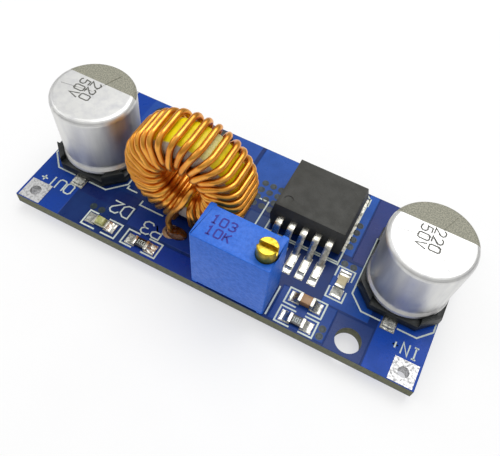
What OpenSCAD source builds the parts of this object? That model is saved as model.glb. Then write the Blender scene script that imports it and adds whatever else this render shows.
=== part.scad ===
// Adjustable step-down converter module: a blue board that carries two aluminium
// capacitors, a toroidal inductor stood on its rim, a switching regulator, a diode,
// a many-turn trimmer and a few chip parts. All sizes are in millimetres.
// X runs along the board, Y from its front edge to its back edge, Z up.
// The origin is under the middle of the board, level with the tips of the soldered pins.

/* [Board] */
// Length of the board
board_l = 54; // [53:0.5:70]
// Width of the board
board_w = 23; // [22.5:0.5:30]
// Thickness of the board
board_t = 1.6; // [1:0.1:2.4]
// Thickness of the tinned copper pads
pad_t = 0.05; // [0.03:0.01:0.1]
// How far the soldered pins stand out below the board
pin_stub = 1; // [0.6:0.1:2]
// Wall of the copper plating inside a hole
plating = 0.06; // [0.03:0.01:0.1]

/* [Holes] */
// Diameter of the two mounting holes
mount_hole_d = 3.2; // [2.2:0.1:3.6]
// Mounting hole from the nearer short edge
mount_inset_x = 8.8; // [8:0.1:10]
// Mounting hole from the nearer long edge
mount_inset_y = 2.1; // [1.9:0.1:3]
// Side of a square wire pad
wire_pad = 3; // [2.2:0.1:3.4]
// Bore of a wire pad
wire_bore_d = 1.4; // [0.8:0.1:1.8]
// Centre of a wire pad from the short edge
wire_inset_x = 1.8; // [1.8:0.1:2.4]
// Centre of a wire pad from the long edge
wire_inset_y = 1.6; // [1.6:0.1:2]
// Drilled diameter of a via
via_d = 0.6; // [0.3:0.05:0.8]
// Spacing of the vias in a row
via_pitch = 1.2; // [1:0.05:1.5]

/* [Electrolytic capacitors] */
// Diameter of the can
can_d = 10.4; // [8:0.1:11]
// Height of the capacitor above the board
can_top = 10.9; // [8:0.1:14]
// Radius of the can's upper edge
can_edge_r = 0.7; // [0.3:0.1:1.2]
// How deep the crimp groove is
crimp_depth = 0.35; // [0.1:0.05:0.6]
// Height of the rolled bead below the groove
bead_h = 1; // [0.6:0.1:1.4]
// How far the base stands out past the can all round
base_rim = 0.1; // [0.1:0.05:0.5]
// Thickness of the base plate
base_h = 1.1; // [0.8:0.1:1.6]
// Height of the base's corner posts above its plate
post_h = 0.8; // [0.3:0.1:1.6]
// Chamfer of the base's two front corners
base_chamfer = 2.3; // [1.2:0.1:2.6]
// Centre of the output capacitor from the left edge
out_cap_inset = 5.67; // [5.3:0.01:8]
// Centre of the input capacitor from the right edge
in_cap_inset = 5.3; // [5.25:0.01:8]
// Centre of the output capacitor behind the board's middle line
out_cap_y = -0.1; // [-0.6:0.1:0.6]
// Centre of the input capacitor behind the board's middle line
in_cap_y = 0.7; // [-0.6:0.1:0.8]
// Width of a capacitor's terminal
cap_term_w = 1.1; // [0.6:0.1:1.4]

/* [Inductor] */
// Outer diameter of the core
core_od = 14.1; // [12.8:0.1:16.9]
// Bore of the core
core_id = 7.7; // [7.7:0.1:9]
// Width of the core along its axis
core_w = 4.8; // [4:0.1:5.8]
// Radius of the core's edges
core_edge_r = 1.4; // [0.3:0.1:1.5]
// Diameter of the enamelled wire
wire_d = 0.8; // [0.6:0.05:0.85]
// Number of turns
turns = 34; // [20:1:34]
// Space between the output capacitor and the winding
cap_coil_gap = 1.89; // [0.5:0.01:4]

/* [Regulator] */
// Width of the regulator's moulding at its parting line
ic_w = 10; // [9:0.1:10.4]
// Depth of the moulding, front to back
ic_d = 8.6; // [8:0.1:9.2]
// Height of the regulator above its pads
ic_h = 4.4; // [3.8:0.1:5.4]
// Spacing of its leads
lead_pitch = 1.7; // [1.27:0.01:1.9]
// Width of a lead
lead_w = 0.87; // [0.6:0.01:1]
// Thickness of a lead
lead_t = 0.45; // [0.25:0.05:0.6]
// Reach of the leads in front of the moulding
lead_reach = 4.55; // [4:0.1:5]
// Space between the winding and the regulator
coil_ic_gap = 1.35; // [0.3:0.01:2]
// Middle of the moulding from the board's back edge
ic_inset_y = 6.84; // [6.6:0.01:8]

/* [Trimmer] */
// Width of the trimmer
trim_w = 9.53; // [8:0.01:11.5]
// Depth of the trimmer, front to back
trim_d = 4.83; // [4.4:0.01:5.8]
// Height of the trimmer's case above the board
trim_h = 10.4; // [8:0.1:12.5]
// Diameter of the adjusting screw
screw_d = 2.35; // [1.8:0.01:2.4]
// How far the screw stands out of the case
screw_proud = 1.6; // [0.5:0.1:2.4]
// Centre of the screw from the case's right side
screw_inset_x = 1.3; // [1.3:0.01:2]
// Centre of the screw from the case's back
screw_inset_y = 2.97; // [1.6:0.01:3.2]
// Spacing of the trimmer's pins
pin_pitch = 2.54; // [2:0.01:3]
// Diameter of a pin
pin_d = 0.5; // [0.4:0.05:0.6]

/* [Chip parts] */
// Length of a chip part
chip_l = 2; // [1.6:0.05:2.4]
// Width of a chip part
chip_w = 1.25; // [0.8:0.05:1.5]
// Height of a chip resistor
resistor_h = 0.5; // [0.35:0.05:0.7]
// Height of a ceramic capacitor
ceramic_h = 1; // [0.6:0.05:1.3]
// Length of the metal end caps
chip_band = 0.38; // [0.2:0.02:0.5]
// Length of the board's pad under a chip part's end
chip_pad_l = 1.4; // [1:0.1:1.6]

/* [Diode] */
// Length of the diode's moulding
diode_l = 6.9; // [6:0.1:7.4]
// Width of the diode's moulding
diode_w = 5.9; // [5:0.1:6.2]
// Height of the diode above its pads
diode_h = 2.3; // [1.8:0.1:3]

/* [Hidden] */

$fn = 64;
slip = 0.005;
board_top = pin_stub + board_t;
seat = board_top + pad_t;

// capacitors
base_side = can_d + 2 * base_rim;
out_cap = [-board_l / 2 + out_cap_inset, out_cap_y];
in_cap = [board_l / 2 - in_cap_inset, in_cap_y];
base_lift = 0.1;
post_space = 6.2;
cap_term_inner = 1.3;
cap_term_t = 0.3;
cap_term_end = base_side / 2 + 0.55;
cap_pad = [1.8, 3.9];
cap_pad_end = base_side / 2 + 1.5;
vent_angles = [69, 189, 309];

// trimmer, kept against the front edge of the board
edge_gap = 0.1;
trim_back = -board_w / 2 + edge_gap + trim_d;
trim_y = trim_back - trim_d / 2;
trim_foot = 0.25;
trim_foot_w = 0.8;
trim_wall = 0.6;
potting_h = 1;
screw_slip = 0.03;
screw_len = 7;
screw_slot = [0.54, 0.75];
screw_bevel = 0.12;
pin_hole_d = pin_d + 0.3;
pin_top = board_top + trim_foot + potting_h - 0.3;
seal_section = 0.42;

// inductor, stood on its rim behind the trimmer
lay_gap = 0.05;
coil_r_out = core_od / 2 + lay_gap + wire_d / 2;
coil_r_in = core_id / 2 - lay_gap - wire_d / 2;
coil_face = core_w / 2 + lay_gap + wire_d / 2;
coil_ro = coil_r_out + wire_d / 2;
coil_r_mid = (coil_r_out + coil_r_in) / 2;
face_bow = 0.1;
trim_coil_gap = 0.58;
coil_x = out_cap[0] + base_side / 2 + cap_coil_gap + coil_ro;
coil_y = trim_back + trim_coil_gap + coil_face + wire_d / 2;
coil_z = board_top + coil_ro + lay_gap;
coil_start = 285;
turn_pitch = 330 / (turns - 1);
outer_bend_r = core_edge_r + 0.1;
inner_bend_r = 1.1;
layer_step = 0.87 * wire_d;
face_lift = 0.72 * wire_d;
wire_sides = 8;
lead_tip = 0.15;
front_lead = [coil_x - 0.85, coil_y - coil_face - 1.2];
back_lead = [coil_x + 0.4, coil_y + coil_face + 1.3];
coil_hole_d = wire_d + 0.3;

// regulator
ic = [coil_x + coil_ro + coil_ic_gap + ic_w / 2, board_w / 2 - ic_inset_y];
ic_front = ic[1] - ic_d / 2;
ic_back = ic[1] + ic_d / 2;
lead_z = 2.35;
lead_bend = 0.35;
lead_root = 0.9;
foot_l = 2.3;
tab_t = 1.27;
tab_out = 1.2;
ic_draft = 0.33;
lead_count = 5;
lead_xs = [for (i = [0 : lead_count - 1]) ic[0] + (i - (lead_count - 1) / 2) * lead_pitch];
foot_end = ic_front - lead_reach;
ic_pad = [1.1, 3.4];
tab_pad = [ic_w + 0.4, ic_d + 0.6];
trim = [ic[0] - 4.73, trim_y];
screw = [trim[0] + trim_w / 2 - screw_inset_x, trim_back - screw_inset_y];

// diode, behind the inductor
diode = [coil_x - 4.4, board_w / 2 - 4.6];
diode_term_w = 3;
diode_term_t = 0.2;
diode_term_out = 0.35;
diode_pad = [2.4, 3.2];

// chip parts: centre of each, turned along X unless said otherwise
chip_front = -board_w / 2;
led = [-board_l / 2 + 11.8, chip_front + 1.55];
led_resistor = [led[0] + 5.95, chip_front + 1.35];
feedback_x = trim[0] + trim_w / 2 + 3.87;
feedback_resistor = [feedback_x, chip_front + 1.3];
feedback_cap = [feedback_x, chip_front + 4.05];
supply_cap_gap = 0.35;
supply_cap = [min(ic[0] + ic_w / 2 + 1.63, in_cap[0] - base_side / 2 - supply_cap_gap - chip_w / 2),
    ic_front - 3.45];
cap_t = 0.04;
chip_pad_gap = 1.3;
led_base_h = 0.35;
led_lens = [1.25, 1.1, 0.55];

// holes
mounts = [for (s = [-1, 1])
    [s * (board_l / 2 - mount_inset_x), -s * (board_w / 2 - mount_inset_y)]];
wire_pads = [for (sx = [-1, 1], sy = [-1, 1])
    [sx * (board_l / 2 - wire_inset_x), sy * (board_w / 2 - wire_inset_y)]];
pin_holes = [for (i = [-1 : 1]) [trim[0] + i * pin_pitch, trim[1] - 0.1]];
coil_holes = [front_lead, back_lead];
via_row_y = ic_front + 2.05;
via_columns = [ic[0] - ic_w / 2 - 3.2, ic[0] - ic_w / 2 - 2, ic[0] - ic_w / 2 - 0.8,
    ic[0] + ic_w / 2 - 0.1, ic[0] + ic_w / 2 + 0.6];
vias = concat(
    [for (x = via_columns, i = [0 : 3]) [x, via_row_y + i * via_pitch]],
    [for (i = [0, 1]) [supply_cap[0] - 0.65 + i * via_pitch, supply_cap[1] + 2.9]],
    [for (i = [0, 1]) [feedback_x + 3.1, chip_front + 0.95 + i]],
    [for (i = [0, 1]) [led[0] - 2.3 + i * via_pitch, led[1] + 1.65]]);

// ---- shapes used by several parts ----

// A block centred in x and y, standing on z = 0.
module block(size) {
    translate([-size[0] / 2, -size[1] / 2, 0]) cube(size);
}

// A rectangle with round corners, centred.
module round_rect(size, r) {
    square([size[0] - 2 * r, size[1]], center = true);
    square([size[0], size[1] - 2 * r], center = true);
    for (sx = [-1, 1], sy = [-1, 1])
        translate([sx * (size[0] / 2 - r), sy * (size[1] / 2 - r)]) circle(r);
}

// Points of an arc about a centre, from one angle to another.
function arc(centre, r, from, to, steps = 6) =
    [for (i = [0 : steps]) let (a = from + (to - from) * i / steps)
        centre + r * [cos(a), sin(a)]];

// A moulding with draft above and below its parting line.
module moulding(size, parting, draft) {
    function side(w) = [[-w / 2 + draft / 2, 0], [w / 2 - draft / 2, 0], [w / 2, parting],
        [w / 2 - draft, size[2]], [-w / 2 + draft, size[2]], [-w / 2, parting]];
    intersection() {
        translate([0, size[1] / 2, 0]) rotate([90, 0, 0]) linear_extrude(size[1])
            polygon(side(size[0]));
        translate([-size[0] / 2, 0, 0]) rotate([90, 0, 90]) linear_extrude(size[0])
            polygon(side(size[1]));
    }
}

// A drilled hole through the board.
module drill(place, d) {
    translate([place[0], place[1], pin_stub - 1]) cylinder(h = board_t + 2, d = d);
}

// A plated hole: a tube through the board with a round land on each face.
module plated_hole(place, bore, land) {
    translate([place[0], place[1], pin_stub - pad_t]) difference() {
        union() {
            cylinder(h = board_t + 2 * pad_t, d = bore + 2 * plating);
            for (z = [0, board_t + pad_t]) translate([0, 0, z]) cylinder(h = pad_t, d = land);
        }
        translate([0, 0, -1]) cylinder(h = board_t + 2 * pad_t + 2, d = bore);
    }
}

// A flat pad of tinned copper on the top face.
module pad(place, size) {
    translate([place[0], place[1], board_top]) block([size[0], size[1], pad_t]);
}

// Moves a part to its place on the pads, turned about Z.
module placed(place, turn = 0) {
    translate([place[0], place[1], seat]) rotate(turn) children();
}

// ---- board ----

module circuit_board() {
    color("royalblue") difference() {
        translate([0, 0, pin_stub]) block([board_l, board_w, board_t]);
        for (p = mounts) drill(p, mount_hole_d);
        for (p = wire_pads) drill(p, wire_bore_d + 2 * (plating + slip));
        for (p = pin_holes) drill(p, pin_hole_d + 2 * (plating + slip));
        for (p = coil_holes) drill(p, coil_hole_d + 2 * (plating + slip));
        for (p = vias) drill(p, via_d + 2 * slip);
    }
}

module wire_terminal_pads() {
    color("silver") for (p = wire_pads)
        translate([p[0], p[1], pin_stub - pad_t]) difference() {
            union() {
                cylinder(h = board_t + 2 * pad_t, d = wire_bore_d + 2 * plating);
                for (z = [0, board_t + pad_t])
                    translate([0, 0, z]) block([wire_pad, wire_pad, pad_t]);
            }
            translate([0, 0, -1]) cylinder(h = board_t + 2 * pad_t + 2, d = wire_bore_d);
        }
}

module via_barrels() {
    color("peru") for (p = vias) translate([p[0], p[1], pin_stub]) difference() {
        cylinder(h = board_t, d = via_d);
        translate([0, 0, -1]) cylinder(h = board_t + 2, d = via_d - 2 * plating);
    }
}

module pin_pads() {
    color("silver") {
        for (p = pin_holes) plated_hole(p, pin_hole_d, pin_hole_d + 0.9);
        for (p = coil_holes) plated_hole(p, coil_hole_d, coil_hole_d + 1);
    }
}

// The two pads under a chip part.
module chip_pads(place, turn = 0) {
    translate([place[0], place[1], board_top]) rotate(turn) for (s = [-1, 1])
        translate([s * (chip_pad_gap / 2 + chip_pad_l / 2), 0, 0])
            block([chip_pad_l, chip_w + 0.2, pad_t]);
}

module component_pads() {
    color("silver") {
        for (c = [out_cap, in_cap], s = [-1, 1])
            pad([c[0], c[1] + s * (cap_pad_end - cap_pad[1] / 2)], cap_pad);
        for (x = lead_xs) pad([x, foot_end - 0.86 + ic_pad[1] / 2], ic_pad);
        pad([ic[0], ic_back + tab_out + 0.3 - tab_pad[1] / 2], tab_pad);
        for (s = [-1, 1])
            pad([diode[0] + s * (diode_l / 2 + diode_term_out + 0.4 - diode_pad[0] / 2), diode[1]],
                diode_pad);
        for (c = [led, led_resistor, feedback_resistor, feedback_cap]) chip_pads(c);
        chip_pads(supply_cap, 90);
    }
}

// ---- electrolytic capacitors ----

// The can: a drawn cup with a rounded top edge and a crimp groove above its rolled bead.
module can() {
    r = can_d / 2;
    z0 = base_lift + base_h;
    top = can_top - pad_t;
    groove_z = z0 + bead_h + crimp_depth;
    bead_r = bead_h / 2;
    difference() {
        rotate_extrude($fn = 96) polygon(concat(
            [[0, z0]],
            arc([r - bead_r, z0 + bead_r], bead_r, -90, 60, 5),
            arc([r, groove_z], crimp_depth, 240, 120, 4),
            arc([r - can_edge_r, top - can_edge_r], can_edge_r, 0, 90, 6),
            [[0, top]]));
        for (a = vent_angles) rotate(a) translate([0, -0.07, top - 0.06])
            cube([r - 1.1, 0.14, 1]);
    }
}

// The base: a square plate with two chamfered corners, posts that hug the can and a
// groove for each terminal.
module cap_base() {
    h = base_side / 2;
    outline = [[-h + base_chamfer, -h], [h - base_chamfer, -h], [h, -h + base_chamfer], [h, h],
        [-h, h], [-h, -h + base_chamfer]];
    translate([0, 0, base_lift]) difference() {
        linear_extrude(base_h + post_h) polygon(outline);
        translate([0, 0, base_h]) cylinder(h = post_h + 1, d = can_d + 2 * 0.03, $fn = 96);
        for (a = [0, 90]) rotate(a) translate([0, 0, base_h])
            block([base_side + 1, post_space, post_h + 1]);
        for (s = [-1, 1]) translate([0, s * (h + cap_term_inner) / 2, -1])
            block([cap_term_w, h - cap_term_inner + 0.2, 1 + cap_term_t - base_lift]);
    }
}

// The terminals: two flat strips that come out from under the base, front and back.
module cap_terminals() {
    for (s = [-1, 1]) translate([0, s * (cap_term_inner + cap_term_end) / 2, 0])
        block([cap_term_w, cap_term_end - cap_term_inner, cap_term_t]);
}

module output_capacitor_can() { color("gainsboro") placed(out_cap) can(); }
module output_capacitor_base() { color([0.1, 0.12, 0.12]) placed(out_cap) cap_base(); }
module output_capacitor_terminals() { color("silver") placed(out_cap) cap_terminals(); }
module input_capacitor_can() { color("gainsboro") placed(in_cap) can(); }
module input_capacitor_base() { color([0.1, 0.12, 0.12]) placed(in_cap) cap_base(); }
module input_capacitor_terminals() { color("silver") placed(in_cap) cap_terminals(); }

// ---- inductor ----

module inductor_core() {
    color("gold") translate([coil_x, coil_y, coil_z]) rotate([90, 0, 0])
        rotate_extrude($fn = 96) translate([(core_od + core_id) / 4, 0])
            round_rect([(core_od - core_id) / 2, core_w], core_edge_r);
}

// Each point of the wire's centre line is [x, y, z, angle round the core].
function coil_point(r, y, a) = [coil_x + r * cos(a), coil_y + y, coil_z + r * sin(a), a];

// A bend of the wire in the plane of one turn, from one angle round the core to another.
function bend(r, y, bend_r, from, to, a) =
    [for (i = [0 : 2]) let (f = from + (to - from) * i / 2)
        coil_point(r + bend_r * cos(f), y + bend_r * sin(f), a)];

// The front half of a turn: over the core's front edge at angle a, across the face and
// into the hole at angle b. Every second turn lies on its neighbours near the hole.
function turn_front(a, b, upper) =
    let (ri = coil_r_in - (upper ? layer_step : 0), lift = upper ? face_lift : 0,
         ro = coil_r_out - outer_bend_r)
    concat(
        bend(ro, -coil_face + outer_bend_r, outer_bend_r, 0, -90, a),
        [coil_point(coil_r_mid, -coil_face - face_bow - lift * 0.35, (a + b) / 2)],
        bend(ri + inner_bend_r, -coil_face - lift + inner_bend_r, inner_bend_r, -90, -180, b));

// The back half: out of the hole at angle b and over the back edge at angle c.
function turn_back(b, c, upper) =
    let (ri = coil_r_in - (upper ? layer_step : 0), lift = upper ? face_lift : 0,
         ro = coil_r_out - outer_bend_r)
    concat(
        bend(ri + inner_bend_r, coil_face + lift - inner_bend_r, inner_bend_r, 180, 90, b),
        [coil_point(coil_r_mid, coil_face + face_bow + lift * 0.35, (b + c) / 2)],
        bend(ro, coil_face - outer_bend_r, outer_bend_r, 90, 0, c));

function turn_angle(i) = coil_start + i * turn_pitch;

first_b = coil_start - turn_pitch * 0.75;
last_a = turn_angle(turns - 1);
last_b = last_a + turn_pitch / 2;

coil_path = concat(
    [[front_lead[0], front_lead[1], lead_tip, 270],
     [front_lead[0], front_lead[1], board_top + 0.5, 270],
     [front_lead[0] + 0.05, front_lead[1] + 0.15, board_top + 1.3, 270],
     coil_point(coil_r_in + 1.4, -coil_face - 0.75, 270)],
    bend(coil_r_in + 0.35, -coil_face + 0.3, 1.1, -110, -180, first_b),
    turn_back(first_b, coil_start, true),
    [for (i = [0 : turns - 2]) let (a = turn_angle(i), b = a + turn_pitch / 2)
        each concat(turn_front(a, b, i % 2 == 1), turn_back(b, a + turn_pitch, i % 2 == 1))],
    turn_front(last_a, last_b, true),
    bend(coil_r_in - layer_step + inner_bend_r, coil_face + face_lift - inner_bend_r,
        inner_bend_r, 180, 90, last_b),
    [coil_point(coil_r_mid, coil_face + 0.7, last_b + 5),
     [back_lead[0], back_lead[1], board_top + 1.2, 270],
     [back_lead[0], back_lead[1], board_top + 0.5, 270],
     [back_lead[0], back_lead[1], lead_tip, 270]]);

function unit(v) = v / norm(v);
function xyz(p) = [p[0], p[1], p[2]];

// A round wire swept along the path: one ring of points at each point of the path, held
// square to it and turned to face round the core.
module wire(path, d, sides) {
    n = len(path);
    rings = [for (i = [0 : n - 1]) let (
        t = unit(xyz(path[min(i + 1, n - 1)]) - xyz(path[max(i - 1, 0)])),
        around = [-sin(path[i][3]), 0, cos(path[i][3])],
        u = unit(around - (around * t) * t),
        v = cross(t, u))
        for (k = [0 : sides - 1]) let (f = 360 * k / sides)
            xyz(path[i]) + d / 2 * (cos(f) * u + sin(f) * v)];
    sides_faces = [for (i = [0 : n - 2], k = [0 : sides - 1])
        let (m = (k + 1) % sides, a = i * sides + k, b = i * sides + m)
            each [[a, a + sides, b], [b, a + sides, b + sides]]];
    ends = [[for (k = [0 : sides - 1]) k], [for (k = [0 : sides - 1]) n * sides - 1 - k]];
    polyhedron(points = rings, faces = concat(sides_faces, ends));
}

module inductor_winding() { color("darkgoldenrod") wire(coil_path, wire_d, wire_sides); }

// ---- regulator ----

// Side view of a gull-wing lead in (y, z): out of the moulding, down and along its pad.
// The lead runs towards -Y; out and down are where it bends.
function lead_side(root, out, down, end) =
    let (t = lead_t, r = lead_bend, ro = r + t, top = lead_z)
    concat(
        [[root, top + t]],
        arc([out, top - r], ro, 90, 165, 4),
        arc([down - ro, ro], r, -15, -90, 4),
        [[end, t], [end, 0]],
        arc([down - ro, ro], ro, -90, -15, 4),
        arc([out, top - r], r, 165, 90, 4),
        [[root, top]]);

module regulator_lead_bars() {
    front = -ic_d / 2;
    profile = lead_side(front + lead_root, front - 0.75, front - lead_reach + foot_l + 0.1,
        front - lead_reach);
    for (x = lead_xs) translate([x - ic[0] - lead_w / 2, 0, 0]) rotate([90, 0, 90])
        linear_extrude(lead_w) polygon(profile);
}

// The heat tab: a thick copper plate under the moulding that stands out behind it.
module tab_plate() {
    w = ic_w - 0.6;
    y0 = -ic_d / 2 + 1.6;
    y1 = ic_d / 2 + tab_out;
    linear_extrude(tab_t) polygon([[-w / 2, y0], [w / 2, y0], [w / 2, y1 - 0.9],
        [w / 2 - 0.6, y1], [-w / 2 + 0.6, y1], [-w / 2, y1 - 0.9]]);
}

module regulator_body() {
    color([0.25, 0.25, 0.24]) placed(ic) difference() {
        translate([0, 0, 0.1]) moulding([ic_w, ic_d, ic_h - 0.1], lead_z, ic_draft);
        tab_plate();
        regulator_lead_bars();
        translate([-ic_w / 2 + 1.56, -ic_d / 2 + 1.7, ic_h - 0.12]) cylinder(h = 1, d = 1.15);
    }
}

module regulator_heat_tab() { color("silver") placed(ic) tab_plate(); }
module regulator_leads() { color("silver") placed(ic) regulator_lead_bars(); }

// ---- diode ----

// A terminal: out of the moulding's end, down and tucked back under it.
module diode_strap() {
    x = diode_l / 2;
    z = diode_h * 0.45;
    t = diode_term_t;
    rotate([90, 0, 0]) translate([0, 0, -diode_term_w / 2]) linear_extrude(diode_term_w)
        polygon([[x - 0.7, z], [x + diode_term_out - t, z], [x + diode_term_out - t, t],
            [x - 1, t], [x - 1, 0], [x + diode_term_out, 0], [x + diode_term_out, z + t],
            [x - 0.7, z + t]]);
}

module diode_straps() {
    for (m = [0, 1]) mirror([m, 0, 0]) diode_strap();
}

module diode_body() {
    color([0.15, 0.15, 0.15]) placed(diode) difference() {
        translate([0, 0, diode_term_t]) moulding([diode_l, diode_w, diode_h - diode_term_t],
            diode_h * 0.4, 0.3);
        diode_straps();
    }
}

module diode_terminals() { color("silver") placed(diode) diode_straps(); }

// ---- trimmer ----

// The well in the case's underside, between its walls and in front of its back ribs.
module trimmer_well(h) {
    translate([trim[0], trim[1] - trim_foot / 2, 0])
        block([trim_w - 2 * trim_wall, trim_d - trim_foot - 2 * trim_wall, h]);
}

// The case stands on two feet, has a rib at each side of its back and is filled with
// potting from below.
module trimmer_housing() {
    rib_space = trim_w - 2 * trim_foot_w;
    color("dodgerblue") difference() {
        translate([trim[0], trim[1], board_top]) linear_extrude(trim_h) difference() {
            round_rect([trim_w, trim_d], 0.25);
            translate([0, trim_d / 2]) square([rib_space, 2 * trim_foot], center = true);
        }
        translate([trim[0], trim[1], board_top - 1]) block([rib_space, trim_d + 2, 1 + trim_foot]);
        translate([0, 0, board_top - 1]) trimmer_well(1 + trim_foot + potting_h);
        translate([screw[0], screw[1], board_top + trim_h - screw_len])
            cylinder(h = screw_len + 1, d = screw_d + 2 * screw_slip);
    }
}

module trimmer_potting() {
    color([0.16, 0.3, 0.5]) difference() {
        translate([0, 0, board_top + trim_foot + 0.12]) trimmer_well(potting_h - 0.12);
        for (p = pin_holes) translate([p[0], p[1], board_top])
            cylinder(h = pin_top - board_top, d = pin_d);
    }
}

// The adjusting screw: a slotted brass head, a neck for the seal ring and a plain end.
module trimmer_screw() {
    top = board_top + trim_h;
    bottom = top - screw_len + 0.3;
    neck = screw_d / 2 - seal_section + 0.04;
    groove = seal_section + 0.2;
    groove_top = top - 1.2;
    head_top = top + screw_proud;
    color("goldenrod") translate([screw[0], screw[1], 0]) difference() {
        rotate_extrude() polygon([[0, bottom], [screw_d / 2 - 0.3, bottom],
            [screw_d / 2, bottom + 0.3], [screw_d / 2, groove_top - groove],
            [neck, groove_top - groove], [neck, groove_top], [screw_d / 2, groove_top],
            [screw_d / 2, head_top - screw_bevel], [screw_d / 2 - screw_bevel, head_top],
            [0, head_top]]);
        translate([0, 0, head_top - screw_slot[1]]) block([screw_d + 1, screw_slot[0], 2]);
    }
}

// The ring that seals the screw's bore.
module trimmer_screw_seal() {
    z = board_top + trim_h - 1.2 - (seal_section + 0.2) / 2;
    color("dimgray") translate([screw[0], screw[1], z]) rotate_extrude()
        translate([screw_d / 2 + screw_slip - seal_section / 2 - 0.01, 0])
            circle(d = seal_section - 0.04, $fn = 24);
}

module trimmer_pins() {
    color("silver") for (p = pin_holes) translate([p[0], p[1], 0])
        cylinder(h = pin_top, d = pin_d);
}

// ---- chip parts ----

// The end caps of a chip part: metal that wraps each end of the block inside it.
module chip_ends(h) {
    difference() {
        for (s = [-1, 1]) translate([s * (chip_l / 2 - chip_band / 2), 0, 0])
            block([chip_band, chip_w, h]);
        chip_block(h);
    }
}

// The ceramic block inside its end caps.
module chip_block(h) {
    translate([0, 0, cap_t]) block([chip_l - 2 * cap_t, chip_w - 2 * cap_t, h - 2 * cap_t]);
}

module led_resistor_body() { color("#222222") placed(led_resistor) chip_block(resistor_h); }
module led_resistor_ends() { color("silver") placed(led_resistor) chip_ends(resistor_h); }
module feedback_resistor_body() { color("#222222") placed(feedback_resistor) chip_block(resistor_h); }
module feedback_resistor_ends() { color("silver") placed(feedback_resistor) chip_ends(resistor_h); }
module feedback_capacitor_body() { color("tan") placed(feedback_cap) chip_block(ceramic_h); }
module feedback_capacitor_ends() { color("silver") placed(feedback_cap) chip_ends(ceramic_h); }
module supply_capacitor_body() { color("tan") placed(supply_cap, 90) chip_block(ceramic_h); }
module supply_capacitor_ends() { color("silver") placed(supply_cap, 90) chip_ends(ceramic_h); }
module led_base() { color("ivory") placed(led) chip_block(led_base_h); }
module led_terminals() { color("silver") placed(led) chip_ends(led_base_h); }

// The lens: a clear block with drafted sides on the light-emitting diode's base.
module led_lens() {
    color([0.9, 0.92, 0.6]) translate([0, 0, led_base_h - cap_t]) placed(led)
        moulding(led_lens, 0.05, 0.12);
}

// ---- solder ----

// A hollow fillet from a pad up the end of a part, its toe towards +X.
module fillet(w, h, reach) {
    rotate([90, 0, 0]) translate([0, 0, -w / 2]) linear_extrude(w)
        polygon(concat([[0, 0]], [[reach, 0]], [[reach, 0.04]],
            [for (i = [1 : 4]) let (f = i / 5) [reach * (1 - f), 0.04 + (h - 0.04) * f * f]],
            [[0, h]]));
}

module chip_joint(place, h, turn = 0) {
    reach = chip_pad_gap / 2 + chip_pad_l - chip_l / 2 - 0.1;
    placed(place, turn) for (m = [0, 1]) mirror([m, 0, 0])
        translate([chip_l / 2, 0, 0]) fillet(chip_w, h, reach);
}

module chip_solder() {
    color("lightgray") {
        chip_joint(led, led_base_h * 0.8);
        chip_joint(led_resistor, resistor_h * 0.7);
        chip_joint(feedback_resistor, resistor_h * 0.7);
        chip_joint(feedback_cap, ceramic_h * 0.6);
        chip_joint(supply_cap, ceramic_h * 0.6, 90);
    }
}

module lead_solder() {
    color("lightgray") {
        for (c = [out_cap, in_cap]) placed(c) for (s = [-1, 1]) rotate(s * 90)
            translate([cap_term_end, 0, 0]) fillet(cap_pad[0] - 0.2, cap_term_t, 0.8);
        for (x = lead_xs) placed([x, foot_end]) rotate(-90) fillet(lead_w, lead_t * 0.5, 0.5);
        placed(diode) for (m = [0, 1]) mirror([m, 0, 0])
            translate([diode_l / 2 + diode_term_out, 0, 0]) fillet(diode_term_w, 0.6, 0.35);
    }
}

// A cone of solder below the board, round a pin that ends just under its tip.
module solder_cone(place, bore, land) {
    h = pin_stub - pad_t - 0.25;
    translate([place[0], place[1], pin_stub - pad_t]) mirror([0, 0, 1]) rotate_extrude()
        polygon(concat([[bore / 2, 0], [land / 2, 0], [land / 2, 0.03]],
            [for (i = [1 : 4]) let (f = i / 5)
                [land / 2 - (land / 2 - bore / 2 - 0.08) * sqrt(f), 0.03 + (h - 0.03) * f]],
            [[bore / 2 + 0.05, h], [bore / 2, h]]));
}

module pin_solder() {
    color("lightgray") {
        for (p = pin_holes) solder_cone(p, pin_d, pin_hole_d + 0.8);
        for (p = coil_holes) solder_cone(p, wire_d, coil_hole_d + 0.9);
    }
}

circuit_board();
wire_terminal_pads();
via_barrels();
pin_pads();
component_pads();
output_capacitor_can();
output_capacitor_base();
output_capacitor_terminals();
input_capacitor_can();
input_capacitor_base();
input_capacitor_terminals();
inductor_core();
inductor_winding();
regulator_body();
regulator_heat_tab();
regulator_leads();
diode_body();
diode_terminals();
trimmer_housing();
trimmer_potting();
trimmer_screw();
trimmer_screw_seal();
trimmer_pins();
led_base();
led_lens();
led_terminals();
led_resistor_body();
led_resistor_ends();
feedback_resistor_body();
feedback_resistor_ends();
feedback_capacitor_body();
feedback_capacitor_ends();
supply_capacitor_body();
supply_capacitor_ends();
chip_solder();
lead_solder();
pin_solder();
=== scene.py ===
"""The looks of a small step-down converter board.

The frame's pieces keep their places. This script gives them their finishes, winds the
inductor with a smooth wire, softens the edges of the mouldings, adds print, solder and
flux, and sets up the floor, the lights and the camera. Lengths are in metres, and places
come from the boxes of the frame's own pieces.
"""
import logging
import math
import random
from dataclasses import dataclass
from enum import Enum

import bmesh
import bpy
from mathutils import Matrix, Vector


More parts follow.
